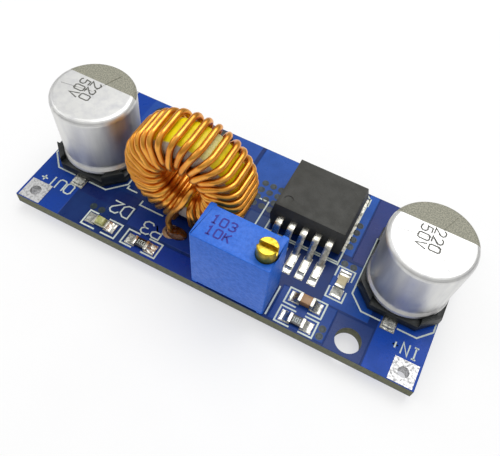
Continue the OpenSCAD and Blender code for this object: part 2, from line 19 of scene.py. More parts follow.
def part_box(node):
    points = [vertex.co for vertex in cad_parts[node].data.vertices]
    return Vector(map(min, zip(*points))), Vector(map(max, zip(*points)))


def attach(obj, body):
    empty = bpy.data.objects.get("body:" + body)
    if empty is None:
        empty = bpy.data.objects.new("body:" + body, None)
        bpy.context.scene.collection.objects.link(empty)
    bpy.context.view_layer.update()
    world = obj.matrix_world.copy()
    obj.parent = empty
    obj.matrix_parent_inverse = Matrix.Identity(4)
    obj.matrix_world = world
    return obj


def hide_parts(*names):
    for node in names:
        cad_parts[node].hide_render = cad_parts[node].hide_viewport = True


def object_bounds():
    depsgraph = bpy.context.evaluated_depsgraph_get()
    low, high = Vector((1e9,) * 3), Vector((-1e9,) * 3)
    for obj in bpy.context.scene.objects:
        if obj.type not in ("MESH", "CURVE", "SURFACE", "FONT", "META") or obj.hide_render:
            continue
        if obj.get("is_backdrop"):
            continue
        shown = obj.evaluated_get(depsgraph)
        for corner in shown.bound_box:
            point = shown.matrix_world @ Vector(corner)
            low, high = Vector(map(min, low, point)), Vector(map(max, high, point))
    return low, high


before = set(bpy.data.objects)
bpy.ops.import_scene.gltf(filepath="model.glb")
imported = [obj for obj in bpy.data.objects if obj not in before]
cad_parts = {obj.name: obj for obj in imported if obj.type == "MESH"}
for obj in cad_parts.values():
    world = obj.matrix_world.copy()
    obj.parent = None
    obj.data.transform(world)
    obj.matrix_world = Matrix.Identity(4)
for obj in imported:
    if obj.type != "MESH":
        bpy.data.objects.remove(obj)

MM = 0.001

Flat = tuple[float, float]
Place = tuple[float, float, float]
Shade = tuple[float, float, float, float]
Stroke = tuple[Flat, ...]

log = logging.getLogger("converter")


class Body(Enum):
    """The two bodies that pieces ride on."""

    MODULE = "module"
    SCREW = "adjusting_screw"


class Slot(Enum):
    """The record's material slots for the pieces made here, passed along with them but not used."""

    PAD = "tinned_pad"
    PLATING = "plating"
    BASE = "capacitor_base"
    TERMINAL = "terminal"
    WIRE = "enamelled_wire"
    REGULATOR = "regulator_moulding"
    DIODE = "diode_moulding"
    TRIMMER = "trimmer_case"
    BRASS = "screw_brass"
    LED_BASE = "led_base"
    LENS = "led_lens"
    END_CAP = "end_cap"
    RESISTOR = "resistor_body"
    CERAMIC = "ceramic_block"
    SOLDER = "solder"
    WHITE_PRINT = "white_print"
    DARK_PRINT = "dark_print"
    FLUX = "flux_residue"


def paint(red: float, green: float, blue: float) -> Shade:
    """Turns a shade as it looks on a display into the linear one that shaders take.

    Args:
        red: Red part, 0 to 1.
        green: Green part, 0 to 1.
        blue: Blue part, 0 to 1.

    Returns:
        The linear shade, opaque.
    """
    parts = [v / 12.92 if v <= 0.04045 else ((v + 0.055) / 1.055) ** 2.4 for v in (red, green, blue)]
    return (parts[0], parts[1], parts[2], 1.0)


# ---- finishes ----


class Graph:
    """The node tree of one material, filled a node at a time."""

    def __init__(self, name: str) -> None:
        """Makes the material with its shader and its place on the piece.

        Args:
            name: Name of the material.
        """
        self.material = bpy.data.materials.new(name)
        self.material.use_nodes = True
        self.tree = self.material.node_tree
        self.tree.nodes.clear()
        self.shader = self.node("ShaderNodeBsdfPrincipled")
        output = self.node("ShaderNodeOutputMaterial")
        self.tree.links.new(self.shader.outputs[0], output.inputs[0])
        self.here = self.node("ShaderNodeTexCoord").outputs["Object"]

    def node(self, kind: str, **settings: object) -> bpy.types.Node:
        """Adds a node.

        Args:
            kind: The node's type name.
            **settings: The node's own settings.

        Returns:
            The node.
        """
        made = self.tree.nodes.new(kind)
        for key, value in settings.items():
            setattr(made, key, value)
        return made

    def feed(self, socket: bpy.types.NodeSocket, value: object) -> None:
        """Links a socket to another, or sets its value.

        Args:
            socket: The input to fill.
            value: An output to link, or a plain value.
        """
        if isinstance(value, bpy.types.NodeSocket):
            self.tree.links.new(value, socket)
        else:
            socket.default_value = value

    def shade(self, **values: object) -> None:
        """Fills the shader's inputs.

        Args:
            **values: Values by input name, with _ for each space.
        """
        for key, value in values.items():
            self.feed(self.shader.inputs[key.replace("_", " ")], value)

    def placed(self, centre: Place = (0, 0, 0), turn: Place = (0, 0, 0), size: Place = (1, 1, 1)) -> bpy.types.NodeSocket:
        """Gives coordinates that start at a place on the piece.

        Args:
            centre: Where the coordinates start.
            turn: How far they are turned, in radians.
            size: What one unit of them measures.

        Returns:
            The coordinates.
        """
        mapping = self.node("ShaderNodeMapping", vector_type="TEXTURE")
        for socket, value in zip(mapping.inputs, (self.here, centre, turn, size)):
            self.feed(socket, value)
        return mapping.outputs[0]

    def noise(self, size: float, at: object = None, detail: float = 3.0, rough: float = 0.55) -> bpy.types.NodeSocket:
        """Adds soft noise.

        Args:
            size: Size of its patches.
            at: Coordinates, if not the piece's own.
            detail: How many finer layers it has.
            rough: How strong the finer layers are.

        Returns:
            Its strength, about 0.5 on average.
        """
        made = self.node("ShaderNodeTexNoise")
        self.feed(made.inputs["Vector"], at or self.here)
        self.feed(made.inputs["Scale"], 1 / size)
        self.feed(made.inputs["Detail"], detail)
        self.feed(made.inputs["Roughness"], rough)
        return made.outputs["Fac"]

    def cells(self, size: float, at: object = None, feature: str = "F1") -> bpy.types.NodeSocket:
        """Adds grains, each with its own middle.

        Args:
            size: Size of a grain.
            at: Coordinates, if not the piece's own.
            feature: What is measured in a grain.

        Returns:
            The distance from the nearest grain's middle.
        """
        made = self.node("ShaderNodeTexVoronoi", feature=feature)
        self.feed(made.inputs["Vector"], at or self.here)
        self.feed(made.inputs["Scale"], 1 / size)
        return made.outputs["Distance"]

    def sum(self, work: str, one: object, two: object = 0.0, clamp: bool = False) -> bpy.types.NodeSocket:
        """Works on one or two numbers.

        Args:
            work: Name of the operation.
            one: First number or output.
            two: Second number or output.
            clamp: Whether the result is kept within 0 and 1.

        Returns:
            The result.
        """
        made = self.node("ShaderNodeMath", operation=work, use_clamp=clamp)
        self.feed(made.inputs[0], one)
        self.feed(made.inputs[1], two)
        return made.outputs[0]

    def band(self, value: object, start: float, end: float, low: float = 0.0, high: float = 1.0) -> bpy.types.NodeSocket:
        """Turns a number smoothly from one level to another.

        Args:
            value: The number.
            start: Where the change starts.
            end: Where it ends.
            low: Level at the start.
            high: Level at the end.

        Returns:
            The level.
        """
        made = self.node("ShaderNodeMapRange", interpolation_type="SMOOTHSTEP")
        for socket, item in zip(made.inputs, (value, start, end, low, high)):
            self.feed(socket, item)
        return made.outputs[0]

    def mix(self, share: object, one: object, two: object, mode: str = "MIX") -> bpy.types.NodeSocket:
        """Mixes two shades.

        Args:
            share: How much of the second shows, 0 to 1.
            one: First shade.
            two: Second shade.
            mode: How they are mixed.

        Returns:
            The mixed shade.
        """
        made = self.node("ShaderNodeMix", data_type="RGBA", blend_type=mode)
        for index, item in ((0, share), (6, one), (7, two)):
            self.feed(made.inputs[index], item)
        return made.outputs[2]

    def split(self, vector: object) -> tuple[bpy.types.NodeSocket, ...]:
        """Splits coordinates into their three parts."""
        made = self.node("ShaderNodeSeparateXYZ")
        self.feed(made.inputs[0], vector)
        return tuple(made.outputs)

    def patch(self, low: Flat, high: Flat, soft: float) -> bpy.types.NodeSocket:
        """Marks a rectangle seen from above.

        Args:
            low: Its lowest corner.
            high: Its highest corner.
            soft: Width of its soft edge.

        Returns:
            1 inside the rectangle and 0 outside.
        """
        x, y, _ = self.split(self.placed(((low[0] + high[0]) / 2, (low[1] + high[1]) / 2, 0)))
        past = [self.sum("SUBTRACT", self.sum("ABSOLUTE", v), (b - a) / 2)
                for v, a, b in ((x, low[0], high[0]), (y, low[1], high[1]))]
        return self.band(self.sum("MAXIMUM", *past), -soft / 2, soft / 2, 1.0, 0.0)

    def bump(self, height: object, depth: float, onto: object = None) -> bpy.types.NodeSocket:
        """Turns a height into dents and bumps.

        Args:
            height: The height, 0 to 1.
            depth: How far a height of 1 stands out.
            onto: Bumps that these are added to.

        Returns:
            The normal.
        """
        made = self.node("ShaderNodeBump")
        self.feed(made.inputs["Distance"], depth)
        self.feed(made.inputs["Height"], height)
        if onto is not None:
            self.feed(made.inputs["Normal"], onto)
        return made.outputs[0]


@dataclass(frozen=True)
class Finish:
    """What every finish has: a name, and a tree that its own class fills."""

    name: str

    def fill(self, graph: Graph) -> None:
        """Fills the tree; each finish has its own way."""
        raise NotImplementedError

    def made(self) -> bpy.types.Material:
        """Makes the material."""
        graph = Graph(self.name)
        self.fill(graph)
        return graph.material


@dataclass(frozen=True)
class Moulded(Finish):
    """Moulded plastic, epoxy or ceramic: a mottled shade with a fine grain."""

    shade: Shade
    worn: Shade
    roughness: float = 0.5
    patch: float = 1.2 * MM
    grain: float = 0.12 * MM
    depth: float = 0.01 * MM
    gloss: float = 0.5
    coat: float = 0.0

    def fill(self, graph: Graph) -> None:
        """Mottles the shade and grains the surface."""
        mottle = graph.noise(self.patch, detail=4.0)
        fine = graph.noise(self.grain, detail=2.0)
        share = graph.sum("ADD", graph.band(mottle, 0.35, 0.7, 0.0, 0.6), graph.band(fine, 0.4, 0.75, 0.0, 0.4))
        graph.shade(
            Base_Color=graph.mix(share, self.shade, self.worn),
            Roughness=graph.band(mottle, 0.3, 0.7, self.roughness - 0.06, self.roughness + 0.08),
            Specular_IOR_Level=self.gloss,
            Coat_Weight=self.coat,
            Coat_Roughness=0.15,
            Normal=graph.bump(fine, self.depth, graph.bump(graph.cells(self.grain * 2.5), self.depth * 0.6)),
        )


@dataclass(frozen=True)
class Metal(Finish):
    """Bare or plated metal with a drawn grain and a few dull patches."""

    shade: Shade
    dull: Shade
    roughness: float = 0.3
    grain: Place = (0.6 * MM, 0.05 * MM, 0.6 * MM)
    depth: float = 0.002 * MM
    patch: float = 0.5 * MM
    waves: float = 0.0

    def fill(self, graph: Graph) -> None:
        """Streaks the metal along its grain and dulls it in patches."""
        streak = graph.noise(1.0, graph.placed(size=self.grain), detail=2.0)
        dulled = graph.noise(self.patch, detail=4.0)
        normal = graph.bump(streak, self.depth)
        if self.waves:
            normal = graph.bump(graph.noise(0.45 * MM, detail=1.0), self.waves, normal)
        graph.shade(
            Base_Color=graph.mix(graph.band(dulled, 0.4, 0.72), self.shade, self.dull),
            Metallic=1.0,
            Roughness=graph.sum("ADD", graph.band(dulled, 0.3, 0.7, 0.0, 0.14), graph.band(streak, 0.2, 0.8, self.roughness - 0.05, self.roughness + 0.05)),
            Normal=normal,
        )


@dataclass(frozen=True)
class Zone:
    """A rectangle of the board where the resist lies on copper of its own level."""

    low: Flat
    high: Flat
    shade: Shade
    strength: float = 1.0


@dataclass(frozen=True)
class Resist(Finish):
    """Blue resist over copper and laminate, with the laminate bare at the edges."""

    zones: tuple[Zone, ...]
    under: float
    top: float
    laminate: Shade = paint(0.06, 0.17, 0.40)
    cut_edge: Shade = paint(0.50, 0.50, 0.41)
    cut_dark: Shade = paint(0.36, 0.37, 0.30)

    def fill(self, graph: Graph) -> None:
        """Lays the copper's patches under the resist and bares the cut edges."""
        blue: object = self.laminate
        level: object = 0.0
        for zone in self.zones:
            mark = graph.patch(zone.low, zone.high, 0.16 * MM)
            share = graph.sum("MULTIPLY", mark, zone.strength)
            blue = graph.mix(share, blue, zone.shade)
            level = graph.sum("MAXIMUM", level, mark)
        cloud = graph.noise(2.6 * MM, detail=4.0)
        weave = graph.noise(0.22 * MM, detail=2.0)
        blue = graph.mix(graph.band(cloud, 0.35, 0.75, 0.0, 0.35), blue, paint(0.11, 0.25, 0.50))
        blue = graph.mix(graph.band(weave, 0.45, 0.8, 0.0, 0.22), blue, paint(0.05, 0.12, 0.34))
        _, _, z = graph.split(graph.here)
        facing = graph.sum("ABSOLUTE", graph.split(graph.node("ShaderNodeNewGeometry").outputs["Normal"])[2])
        inside = graph.sum("MULTIPLY", graph.band(z, self.under + 0.04 * MM, self.under + 0.08 * MM),
                           graph.band(z, self.top - 0.08 * MM, self.top - 0.04 * MM, 1.0, 0.0))
        bare = graph.sum("MULTIPLY", graph.band(facing, 0.3, 0.6, 1.0, 0.0), inside)
        fibre = graph.noise(1.0, graph.placed(size=(0.5 * MM, 0.5 * MM, 0.07 * MM)), detail=3.0)
        edge = graph.mix(graph.band(fibre, 0.3, 0.7), self.cut_edge, self.cut_dark)
        graph.shade(
            Base_Color=graph.mix(bare, blue, edge),
            Roughness=graph.sum("ADD", graph.band(bare, 0.0, 1.0, 0.26, 0.7), graph.band(cloud, 0.3, 0.7, 0.0, 0.1)),
            Specular_IOR_Level=0.15,
            Normal=graph.bump(weave, 0.004 * MM, graph.bump(level, 0.03 * MM)),
        )


@dataclass(frozen=True)
class CanMetal(Finish):
    """Satin aluminium, with a dark printed segment at the back of the can's top."""

    centre: Place
    segment: float
    dark: Shade = paint(0.50, 0.50, 0.45)
    pale: Shade = paint(0.66, 0.65, 0.58)
    bright: Shade = paint(0.89, 0.89, 0.88)
    dull: Shade = paint(0.84, 0.84, 0.84)

    def fill(self, graph: Graph) -> None:
        """Satins the metal, streaks its side and prints the segment on its top."""
        at = graph.placed(self.centre)
        _, y, z = graph.split(at)
        satin = graph.noise(0.09 * MM, at, detail=3.0)
        streak = graph.noise(1.0, graph.placed(self.centre, size=(1.2 * MM, 1.2 * MM, 9 * MM)), detail=3.0)
        stain = graph.noise(2.5 * MM, at, detail=5.0, rough=0.6)
        metal = graph.mix(graph.band(streak, 0.35, 0.7), self.bright, self.dull)
        metal = graph.mix(graph.band(stain, 0.55, 0.8, 0.0, 0.35), metal, paint(0.70, 0.71, 0.74))
        speck = graph.band(graph.noise(0.16 * MM, at, detail=2.0, rough=0.7), 0.38, 0.66)
        ink = graph.mix(speck, self.dark, self.pale)
        mark = graph.sum("MULTIPLY", graph.band(y, self.segment - 0.03 * MM, self.segment + 0.03 * MM),
                         graph.band(z, -0.55 * MM, -0.45 * MM))
        graph.shade(
            Base_Color=graph.mix(mark, metal, ink),
            Metallic=graph.sum("SUBTRACT", 1.0, graph.sum("MULTIPLY", mark, 0.85)),
            Roughness=graph.sum("ADD", graph.band(stain, 0.3, 0.7, 0.42, 0.5), graph.sum("MULTIPLY", mark, 0.2)),
            Normal=graph.bump(satin, 0.003 * MM),
        )


@dataclass(frozen=True)
class CorePaint(Finish):
    """Yellow paint on the iron core, its front face grey white and a pale stripe on its rim."""

    centre: Place
    half_width: float
    stripe: float = 67.0
    stripe_width: float = 6.0
    yellow: Shade = paint(0.98, 0.93, 0.02)
    ochre: Shade = paint(0.88, 0.82, 0.02)
    white: Shade = paint(0.74, 0.72, 0.68)
    pale: Shade = paint(0.90, 0.89, 0.60)

    def fill(self, graph: Graph) -> None:
        """Paints rim, front face and stripe, with the grain of pressed iron under them."""
        at = graph.placed(self.centre)
        x, y, z = graph.split(at)
        drift = graph.noise(1.6 * MM, at, detail=4.0)
        grain = graph.noise(0.2 * MM, at, detail=4.0, rough=0.7)
        rim = graph.mix(graph.band(drift, 0.35, 0.7), self.yellow, self.ochre)
        front = graph.band(graph.sum("ADD", y, graph.sum("MULTIPLY", drift, 0.25 * MM)),
                           -self.half_width + 0.42 * MM, -self.half_width + 0.6 * MM, 1.0, 0.0)
        turn = graph.sum("DEGREES", graph.sum("ARCTAN2", z, x))
        away = graph.sum("ABSOLUTE", graph.sum("SUBTRACT", turn, self.stripe))
        ragged = graph.sum("ADD", away, graph.sum("MULTIPLY", grain, 1.4))
        striped = graph.band(ragged, self.stripe_width / 2 + 0.4, self.stripe_width / 2 + 1.0, 1.0, 0.0)
        shade = graph.mix(striped, rim, graph.mix(graph.band(grain, 0.4, 0.7), self.pale, paint(0.80, 0.80, 0.42)))
        graph.shade(
            Base_Color=graph.mix(front, shade, self.white),
            Roughness=graph.band(drift, 0.3, 0.7, 0.32, 0.5),
            Specular_IOR_Level=0.4,
            Normal=graph.bump(grain, 0.03 * MM, graph.bump(graph.sum("MULTIPLY", striped, grain), 0.06 * MM)),
        )


@dataclass(frozen=True)
class Enamel(Finish):
    """Copper wire under a clear amber enamel."""

    copper: Shade = paint(0.94, 0.70, 0.30)
    deep: Shade = paint(0.86, 0.58, 0.20)

    def fill(self, graph: Graph) -> None:
        """Varies the copper under a smooth clear coat."""
        drift = graph.noise(2.2 * MM, detail=3.0)
        scuff = graph.noise(0.25 * MM, detail=3.0, rough=0.65)
        graph.shade(
            Base_Color=graph.mix(graph.band(drift, 0.35, 0.7), self.copper, self.deep),
            Metallic=1.0,
            Roughness=graph.band(scuff, 0.3, 0.75, 0.27, 0.4),
            Coat_Weight=0.35,
            Coat_Roughness=0.12,
            Coat_Tint=paint(1.0, 0.86, 0.66),
            Normal=graph.bump(scuff, 0.004 * MM),
        )


@dataclass(frozen=True)
class Clear(Finish):
    """A clear or half clear substance, such as a lens or hardened flux."""

    shade: Shade
    stain: Shade
    through: float = 0.6
    patch: float = 0.35 * MM
    lump: float = 0.02 * MM

    def fill(self, graph: Graph) -> None:
        """Clouds the substance and makes it uneven."""
        cloud = graph.noise(self.patch, detail=4.0, rough=0.6)
        graph.shade(
            Base_Color=graph.mix(graph.band(cloud, 0.35, 0.68), self.shade, self.stain),
            Roughness=graph.band(cloud, 0.3, 0.7, 0.12, 0.25),
            Transmission_Weight=self.through,
            Normal=graph.bump(cloud, self.lump),
        )


@dataclass(frozen=True)
class Ink(Finish):
    """Printed ink, thinner in places."""

    shade: Shade
    thin: Shade

    def fill(self, graph: Graph) -> None:
        """Thins the ink in patches."""
        worn = graph.noise(0.12 * MM, detail=3.0, rough=0.6)
        graph.shade(
            Base_Color=graph.mix(graph.band(worn, 0.45, 0.75), self.shade, self.thin),
            Roughness=graph.band(worn, 0.3, 0.7, 0.5, 0.65),
            Specular_IOR_Level=0.3,
            Normal=graph.bump(worn, 0.003 * MM),
        )


# ---- modelling ----


@dataclass(frozen=True)
class Span:
    """The lowest and the highest corner of a piece."""

    low: Vector
    high: Vector

    @classmethod
    def of(cls, node: str) -> "Span":
        """Gives the span of one of the frame's pieces."""
        return cls(*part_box(node))

    @property
    def middle(self) -> Vector:
        """The middle of the span."""
        return (self.low + self.high) / 2

    @property
    def size(self) -> Vector:
        """How long the span is each way."""
        return self.high - self.low


class Bench:
    """Modelling steps that the sub-assemblies share."""

    @staticmethod
    def clear() -> None:
        """Leaves edit mode and deselects everything."""
        if bpy.context.object and bpy.context.object.mode != "OBJECT":
            bpy.ops.object.mode_set(mode="OBJECT")
        bpy.ops.object.select_all(action="DESELECT")

    @staticmethod
    def take(piece: bpy.types.Object) -> None:
        """Selects one piece alone and makes it the active one."""
        Bench.clear()
        piece.select_set(True)
        bpy.context.view_layer.objects.active = piece

    @staticmethod
    def named(name: str) -> bpy.types.Object:
        """Names the piece that an operator has just made, and its mesh."""
        piece = bpy.context.object
        piece.name = piece.data.name = name
        return piece

    @staticmethod
    def settle(piece: bpy.types.Object) -> None:
        """Puts a piece's place, turn and scale into its mesh."""
        Bench.take(piece)
        bpy.ops.object.transform_apply(location=True, rotation=True, scale=True)

    @staticmethod
    def modify(piece: bpy.types.Object, kind: str, **settings: object) -> None:
        """Adds a modifier to a piece and applies it.

        Args:
            piece: The piece.
            kind: The modifier's type name.
            **settings: Its settings.
        """
        Bench.take(piece)
        made = piece.modifiers.new(kind.lower(), kind)
        for key, value in settings.items():
            setattr(made, key, value)
        bpy.ops.object.modifier_apply(modifier=made.name)

    @staticmethod
    def smooth(piece: bpy.types.Object, angle: float = 40.0) -> None:
        """Smooths a piece's shading where its faces meet at less than an angle."""
        Bench.take(piece)
        bpy.ops.object.shade_smooth_by_angle(angle=math.radians(angle))

    @staticmethod
    def copy_of(node: str, name: str) -> bpy.types.Object:
        """Copies one of the frame's pieces, with its doubles merged and its flats whole.

        Args:
            node: The frame's piece.
            name: Name of the copy.

        Returns:
            The copy.
        """
        piece = bpy.data.objects.new(name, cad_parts[node].data.copy())
        piece.data.name = name
        bpy.context.scene.collection.objects.link(piece)
        Bench.take(piece)
        bpy.ops.mesh.customdata_custom_splitnormals_clear()
        bpy.ops.object.mode_set(mode="EDIT")
        bpy.ops.mesh.select_all(action="SELECT")
        bpy.ops.mesh.remove_doubles(threshold=0.002 * MM)
        bpy.ops.mesh.dissolve_limited(angle_limit=math.radians(1.5))
        bpy.ops.object.mode_set(mode="OBJECT")
        return piece

    @staticmethod
    def softened(node: str, name: str, width: float, segments: int = 2, angle: float = 40.0) -> bpy.types.Object:
        """Copies one of the frame's pieces and rounds its sharp edges.

        Args:
            node: The frame's piece.
            name: Name of the copy.
            width: Width of the rounding.
            segments: Faces across the rounding.
            angle: The least angle of an edge that is rounded, in degrees.

        Returns:
            The copy.
        """
        piece = Bench.copy_of(node, name)
        Bench.modify(piece, "BEVEL", width=width, segments=segments, limit_method="ANGLE",
                     angle_limit=math.radians(angle), use_clamp_overlap=True, harden_normals=False)
        Bench.smooth(piece)
        return piece

    @staticmethod
    def islands(node: str) -> list[Span]:
        """Gives the span of each separate solid of one of the frame's pieces.

        Args:
            node: The frame's piece.

        Returns:
            The spans, from left to right and then front to back.
        """
        piece = Bench.copy_of(node, "sorting_" + node)
        bpy.ops.object.mode_set(mode="EDIT")
        bpy.ops.mesh.select_all(action="SELECT")
        bpy.ops.mesh.separate(type="LOOSE")
        bpy.ops.object.mode_set(mode="OBJECT")
        found = []
        for part in list(bpy.context.selected_objects):
            corners = [v.co for v in part.data.vertices]
            found.append(Span(Vector([min(c[i] for c in corners) for i in range(3)]),
                              Vector([max(c[i] for c in corners) for i in range(3)])))
            bpy.data.objects.remove(part)
        return sorted(found, key=lambda s: (round(s.middle.x, 5), round(s.middle.y, 5)))

    @staticmethod
    def joined(parts: list[bpy.types.Object], name: str) -> bpy.types.Object:
        """Joins pieces into one.

        Args:
            parts: The pieces.
            name: Name of the whole.

        Returns:
            The whole piece.
        """
        Bench.take(parts[0])
        for part in parts:
            part.select_set(True)
        bpy.ops.object.join()
        return Bench.named(name)

    @staticmethod
    def repeated(model: bpy.types.Object, places: list[Matrix], name: str) -> bpy.types.Object:
        """Copies a model to each place, joins the copies and removes the model.

        Args:
            model: The piece modelled once, about the origin.
            places: Where each copy goes.
            name: Name of the whole.

        Returns:
            The whole piece.
        """
        copies = []
        for place in places:
            copy = bpy.data.objects.new(name, model.data.copy())
            copy.data.transform(place)
            bpy.context.scene.collection.objects.link(copy)
            copies.append(copy)
        bpy.data.objects.remove(model)
        return Bench.joined(copies, name)

    @staticmethod
    def finish(piece: bpy.types.Object, finish: bpy.types.Material, slot: Slot, stands_for: tuple[str, ...] = (),
               body: Body = Body.MODULE) -> bpy.types.Object:
        """Dresses a piece, puts it on the body that it rides on, and hides the frame's pieces that it stands for.

        Args:
            piece: The piece.
            finish: Its material.
            slot: The record's slot that the material belongs to; not used.
            stands_for: The frame's pieces that it replaces.
            body: The body that it rides on.

        Returns:
            The piece.
        """
        piece.data.materials.clear()
        piece.data.materials.append(finish)
        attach(piece, body.value)
        if stands_for:
            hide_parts(*stands_for)
        log.info("%s: %d faces", piece.name, len(piece.data.polygons))
        return piece

    @staticmethod
    def dress(node: str, finish: bpy.types.Material) -> None:
        """Gives one of the frame's own pieces its finish."""
        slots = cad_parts[node].material_slots
        for slot in slots:
            slot.material = finish
        log.info("%s: dressed", node)


class Pen:
    """Draws thin print, a stroke at a time, as a band of faces in one plane."""

    GLYPHS: dict[str, tuple[Stroke, ...]] = {
        "0": (((0.1, 0), (0.5, 0), (0.6, 0.15), (0.6, 0.85), (0.5, 1), (0.1, 1), (0, 0.85), (0, 0.15), (0.1, 0)),),
        "1": (((0.12, 0.8), (0.32, 1), (0.32, 0)), ((0.1, 0), (0.54, 0))),
        "2": (((0, 0.8), (0.14, 1), (0.46, 1), (0.6, 0.82), (0.57, 0.6), (0.02, 0.02), (0.62, 0.02)),),
        "3": (((0, 0.86), (0.14, 1), (0.46, 1), (0.6, 0.86), (0.6, 0.66), (0.44, 0.53), (0.2, 0.53)),
              ((0.44, 0.53), (0.62, 0.38), (0.62, 0.16), (0.46, 0), (0.14, 0), (0, 0.15))),
        "5": (((0.58, 1), (0.08, 1), (0.03, 0.54), (0.42, 0.6), (0.6, 0.44), (0.6, 0.16), (0.44, 0), (0.14, 0), (0, 0.13)),),
        "D": (((0, 0), (0, 1), (0.36, 1), (0.6, 0.76), (0.6, 0.24), (0.36, 0), (0, 0)),),
        "I": (((0.1, 0), (0.5, 0)), ((0.1, 1), (0.5, 1)), ((0.3, 0), (0.3, 1))),
        "K": (((0, 0), (0, 1)), ((0.58, 1), (0.02, 0.44)), ((0.2, 0.6), (0.6, 0))),
        "N": (((0, 0), (0, 1), (0.6, 0), (0.6, 1)),),
        "O": (((0.14, 0), (0.46, 0), (0.6, 0.18), (0.6, 0.82), (0.46, 1), (0.14, 1), (0, 0.82), (0, 0.18), (0.14, 0)),),
        "R": (((0, 0), (0, 1), (0.44, 1), (0.6, 0.87), (0.6, 0.63), (0.44, 0.5), (0, 0.5)), ((0.28, 0.5), (0.6, 0))),
        "T": (((0, 1), (0.6, 1)), ((0.3, 1), (0.3, 0))),
        "U": (((0, 1), (0, 0.15), (0.14, 0), (0.46, 0), (0.6, 0.15), (0.6, 1)),),
        "V": (((0, 1), (0.3, 0), (0.6, 1)),),
        "+": (((0.04, 0.5), (0.56, 0.5)), ((0.3, 0.24), (0.3, 0.76))),
    }

    def __init__(self, name: str, height: float, width: float, thick: float = 0.015 * MM) -> None:
        """Takes up the pen.

        Args:
            name: Name of the print.
            height: Where the printed surface is.
            width: Width of a stroke.
            thick: Thickness of the ink.
        """
        self.name = name
        self.height = height
        self.width = width
        self.thick = thick
        self.strokes: list[tuple[list[Vector], float]] = []

    def line(self, points: list[Flat] | Stroke, about: Vector | None = None, width: float | None = None) -> None:
        """Takes one stroke.

        Args:
            points: Its corners.
            about: What the corners are measured from.
            width: Its width, if not the pen's own.
        """
        base = about.xy if about is not None else Vector((0, 0))
        self.strokes.append(([base + Vector(p) for p in points], width or self.width))

    def text(self, words: str, start: Flat, height: float, glyph: float, step: float, along: Flat = (-1, 0),
             up: Flat = (0, -1), about: Vector | None = None) -> None:
        """Takes a row of letters or figures.

        Args:
            words: What it says.
            start: Lower left corner of the first letter, as it is read.
            height: Height of a letter.
            glyph: Width of a letter.
            step: From one letter to the next.
            along: Reading direction.
            up: Direction of a letter's top.
            about: What the start is measured from.
        """
        for index, letter in enumerate(words):
            for stroke in self.GLYPHS.get(letter, ()):
                corners = [Vector(start) + Vector(along) * (index * step + x / 0.6 * glyph) + Vector(up) * (y * height)
                           for x, y in stroke]
                self.line([(c.x, c.y) for c in corners], about)

    def _sides(self, points: list[Vector], width: float) -> list[tuple[Vector, Vector]]:
        """Gives the left and right edge of a stroke at each of its corners, mitred."""
        closed = (points[0] - points[-1]).length < 1e-7 and len(points) > 3
        pairs = []
        for i, point in enumerate(points):
            before = points[i - 1] if i else (points[-2] if closed else None)
            after = points[i + 1] if i + 1 < len(points) else (points[1] if closed else None)
            ways = [(b - a).normalized() for a, b in ((before, point), (point, after)) if a is not None and b is not None]
            normals = [Vector((-w.y, w.x)) for w in ways]
            mean = sum(normals, Vector((0, 0))).normalized()
            reach = width / 2 / max(mean.dot(normals[0]), 0.45)
            pairs.append((point + mean * reach, point - mean * reach))
        return pairs

    def drawn(self) -> bpy.types.Object:
        """Draws all the strokes as one piece, extruding the end of each band to its next corner.

        Returns:
            The print.
        """
        Bench.clear()
        bpy.ops.mesh.primitive_plane_add(size=self.width, location=(0, 0, self.height))
        piece = Bench.named(self.name)
        Bench.settle(piece)
        bpy.ops.object.mode_set(mode="EDIT")
        bpy.ops.mesh.select_all(action="SELECT")
        bpy.ops.mesh.delete(type="VERT")
        for points, width in self.strokes:
            self._stroke(piece, self._sides(points, width))
        bpy.ops.mesh.select_all(action="SELECT")
        bpy.ops.mesh.remove_doubles(threshold=0.001 * MM)
        bpy.ops.mesh.normals_make_consistent(inside=False)
        bpy.ops.object.mode_set(mode="OBJECT")
        if piece.data.polygons[0].normal.z < 0:
            piece.data.flip_normals()
        Bench.modify(piece, "SOLIDIFY", thickness=self.thick, offset=1.0)
        return piece

    def _stroke(self, piece: bpy.types.Object, pairs: list[tuple[Vector, Vector]]) -> None:
        """Starts a band with a plane and extrudes it from corner to corner.

        Args:
            piece: The print, in edit mode.
            pairs: Left and right edge at each corner.
        """
        middle = (pairs[0][0] + pairs[0][1]) / 2
        bpy.ops.mesh.select_all(action="DESELECT")
        bpy.ops.mesh.primitive_plane_add(size=self.width, location=(middle.x, middle.y, self.height))
        mesh = bmesh.from_edit_mesh(piece.data)
        corners = [v for v in mesh.verts if v.select]
        corners.sort(key=lambda v: (round(v.co.x, 7), round(v.co.y, 7)))
        low_left, high_left, low_right, high_right = corners
        for vert, place in ((high_left, pairs[0][0]), (low_left, pairs[0][1]), (high_right, pairs[1][0]), (low_right, pairs[1][1])):
            vert.co = Vector((place.x, place.y, self.height))
        ends = (high_right, low_right)
        for before, after in zip(pairs[1:], pairs[2:]):
            for vert in mesh.verts:
                vert.select = False
            for vert in ends:
                vert.select = True
            mesh.select_flush(True)
            mesh.select_flush(False)
            bmesh.update_edit_mesh(piece.data)
            shift = after[0] - before[0]
            bpy.ops.mesh.extrude_edges_move(TRANSFORM_OT_translate={"value": (shift.x, shift.y, 0)})
            mesh = bmesh.from_edit_mesh(piece.data)
            fresh = [v for v in mesh.verts if v.select]
            target = Vector((after[0].x, after[0].y, self.height))
            fresh.sort(key=lambda v: (v.co - target).length)
            for vert, place in zip(fresh, after):
                vert.co = Vector((place.x, place.y, self.height))
            ends = (fresh[0], fresh[1])
        bmesh.update_edit_mesh(piece.data)


# ---- sub-assemblies ----


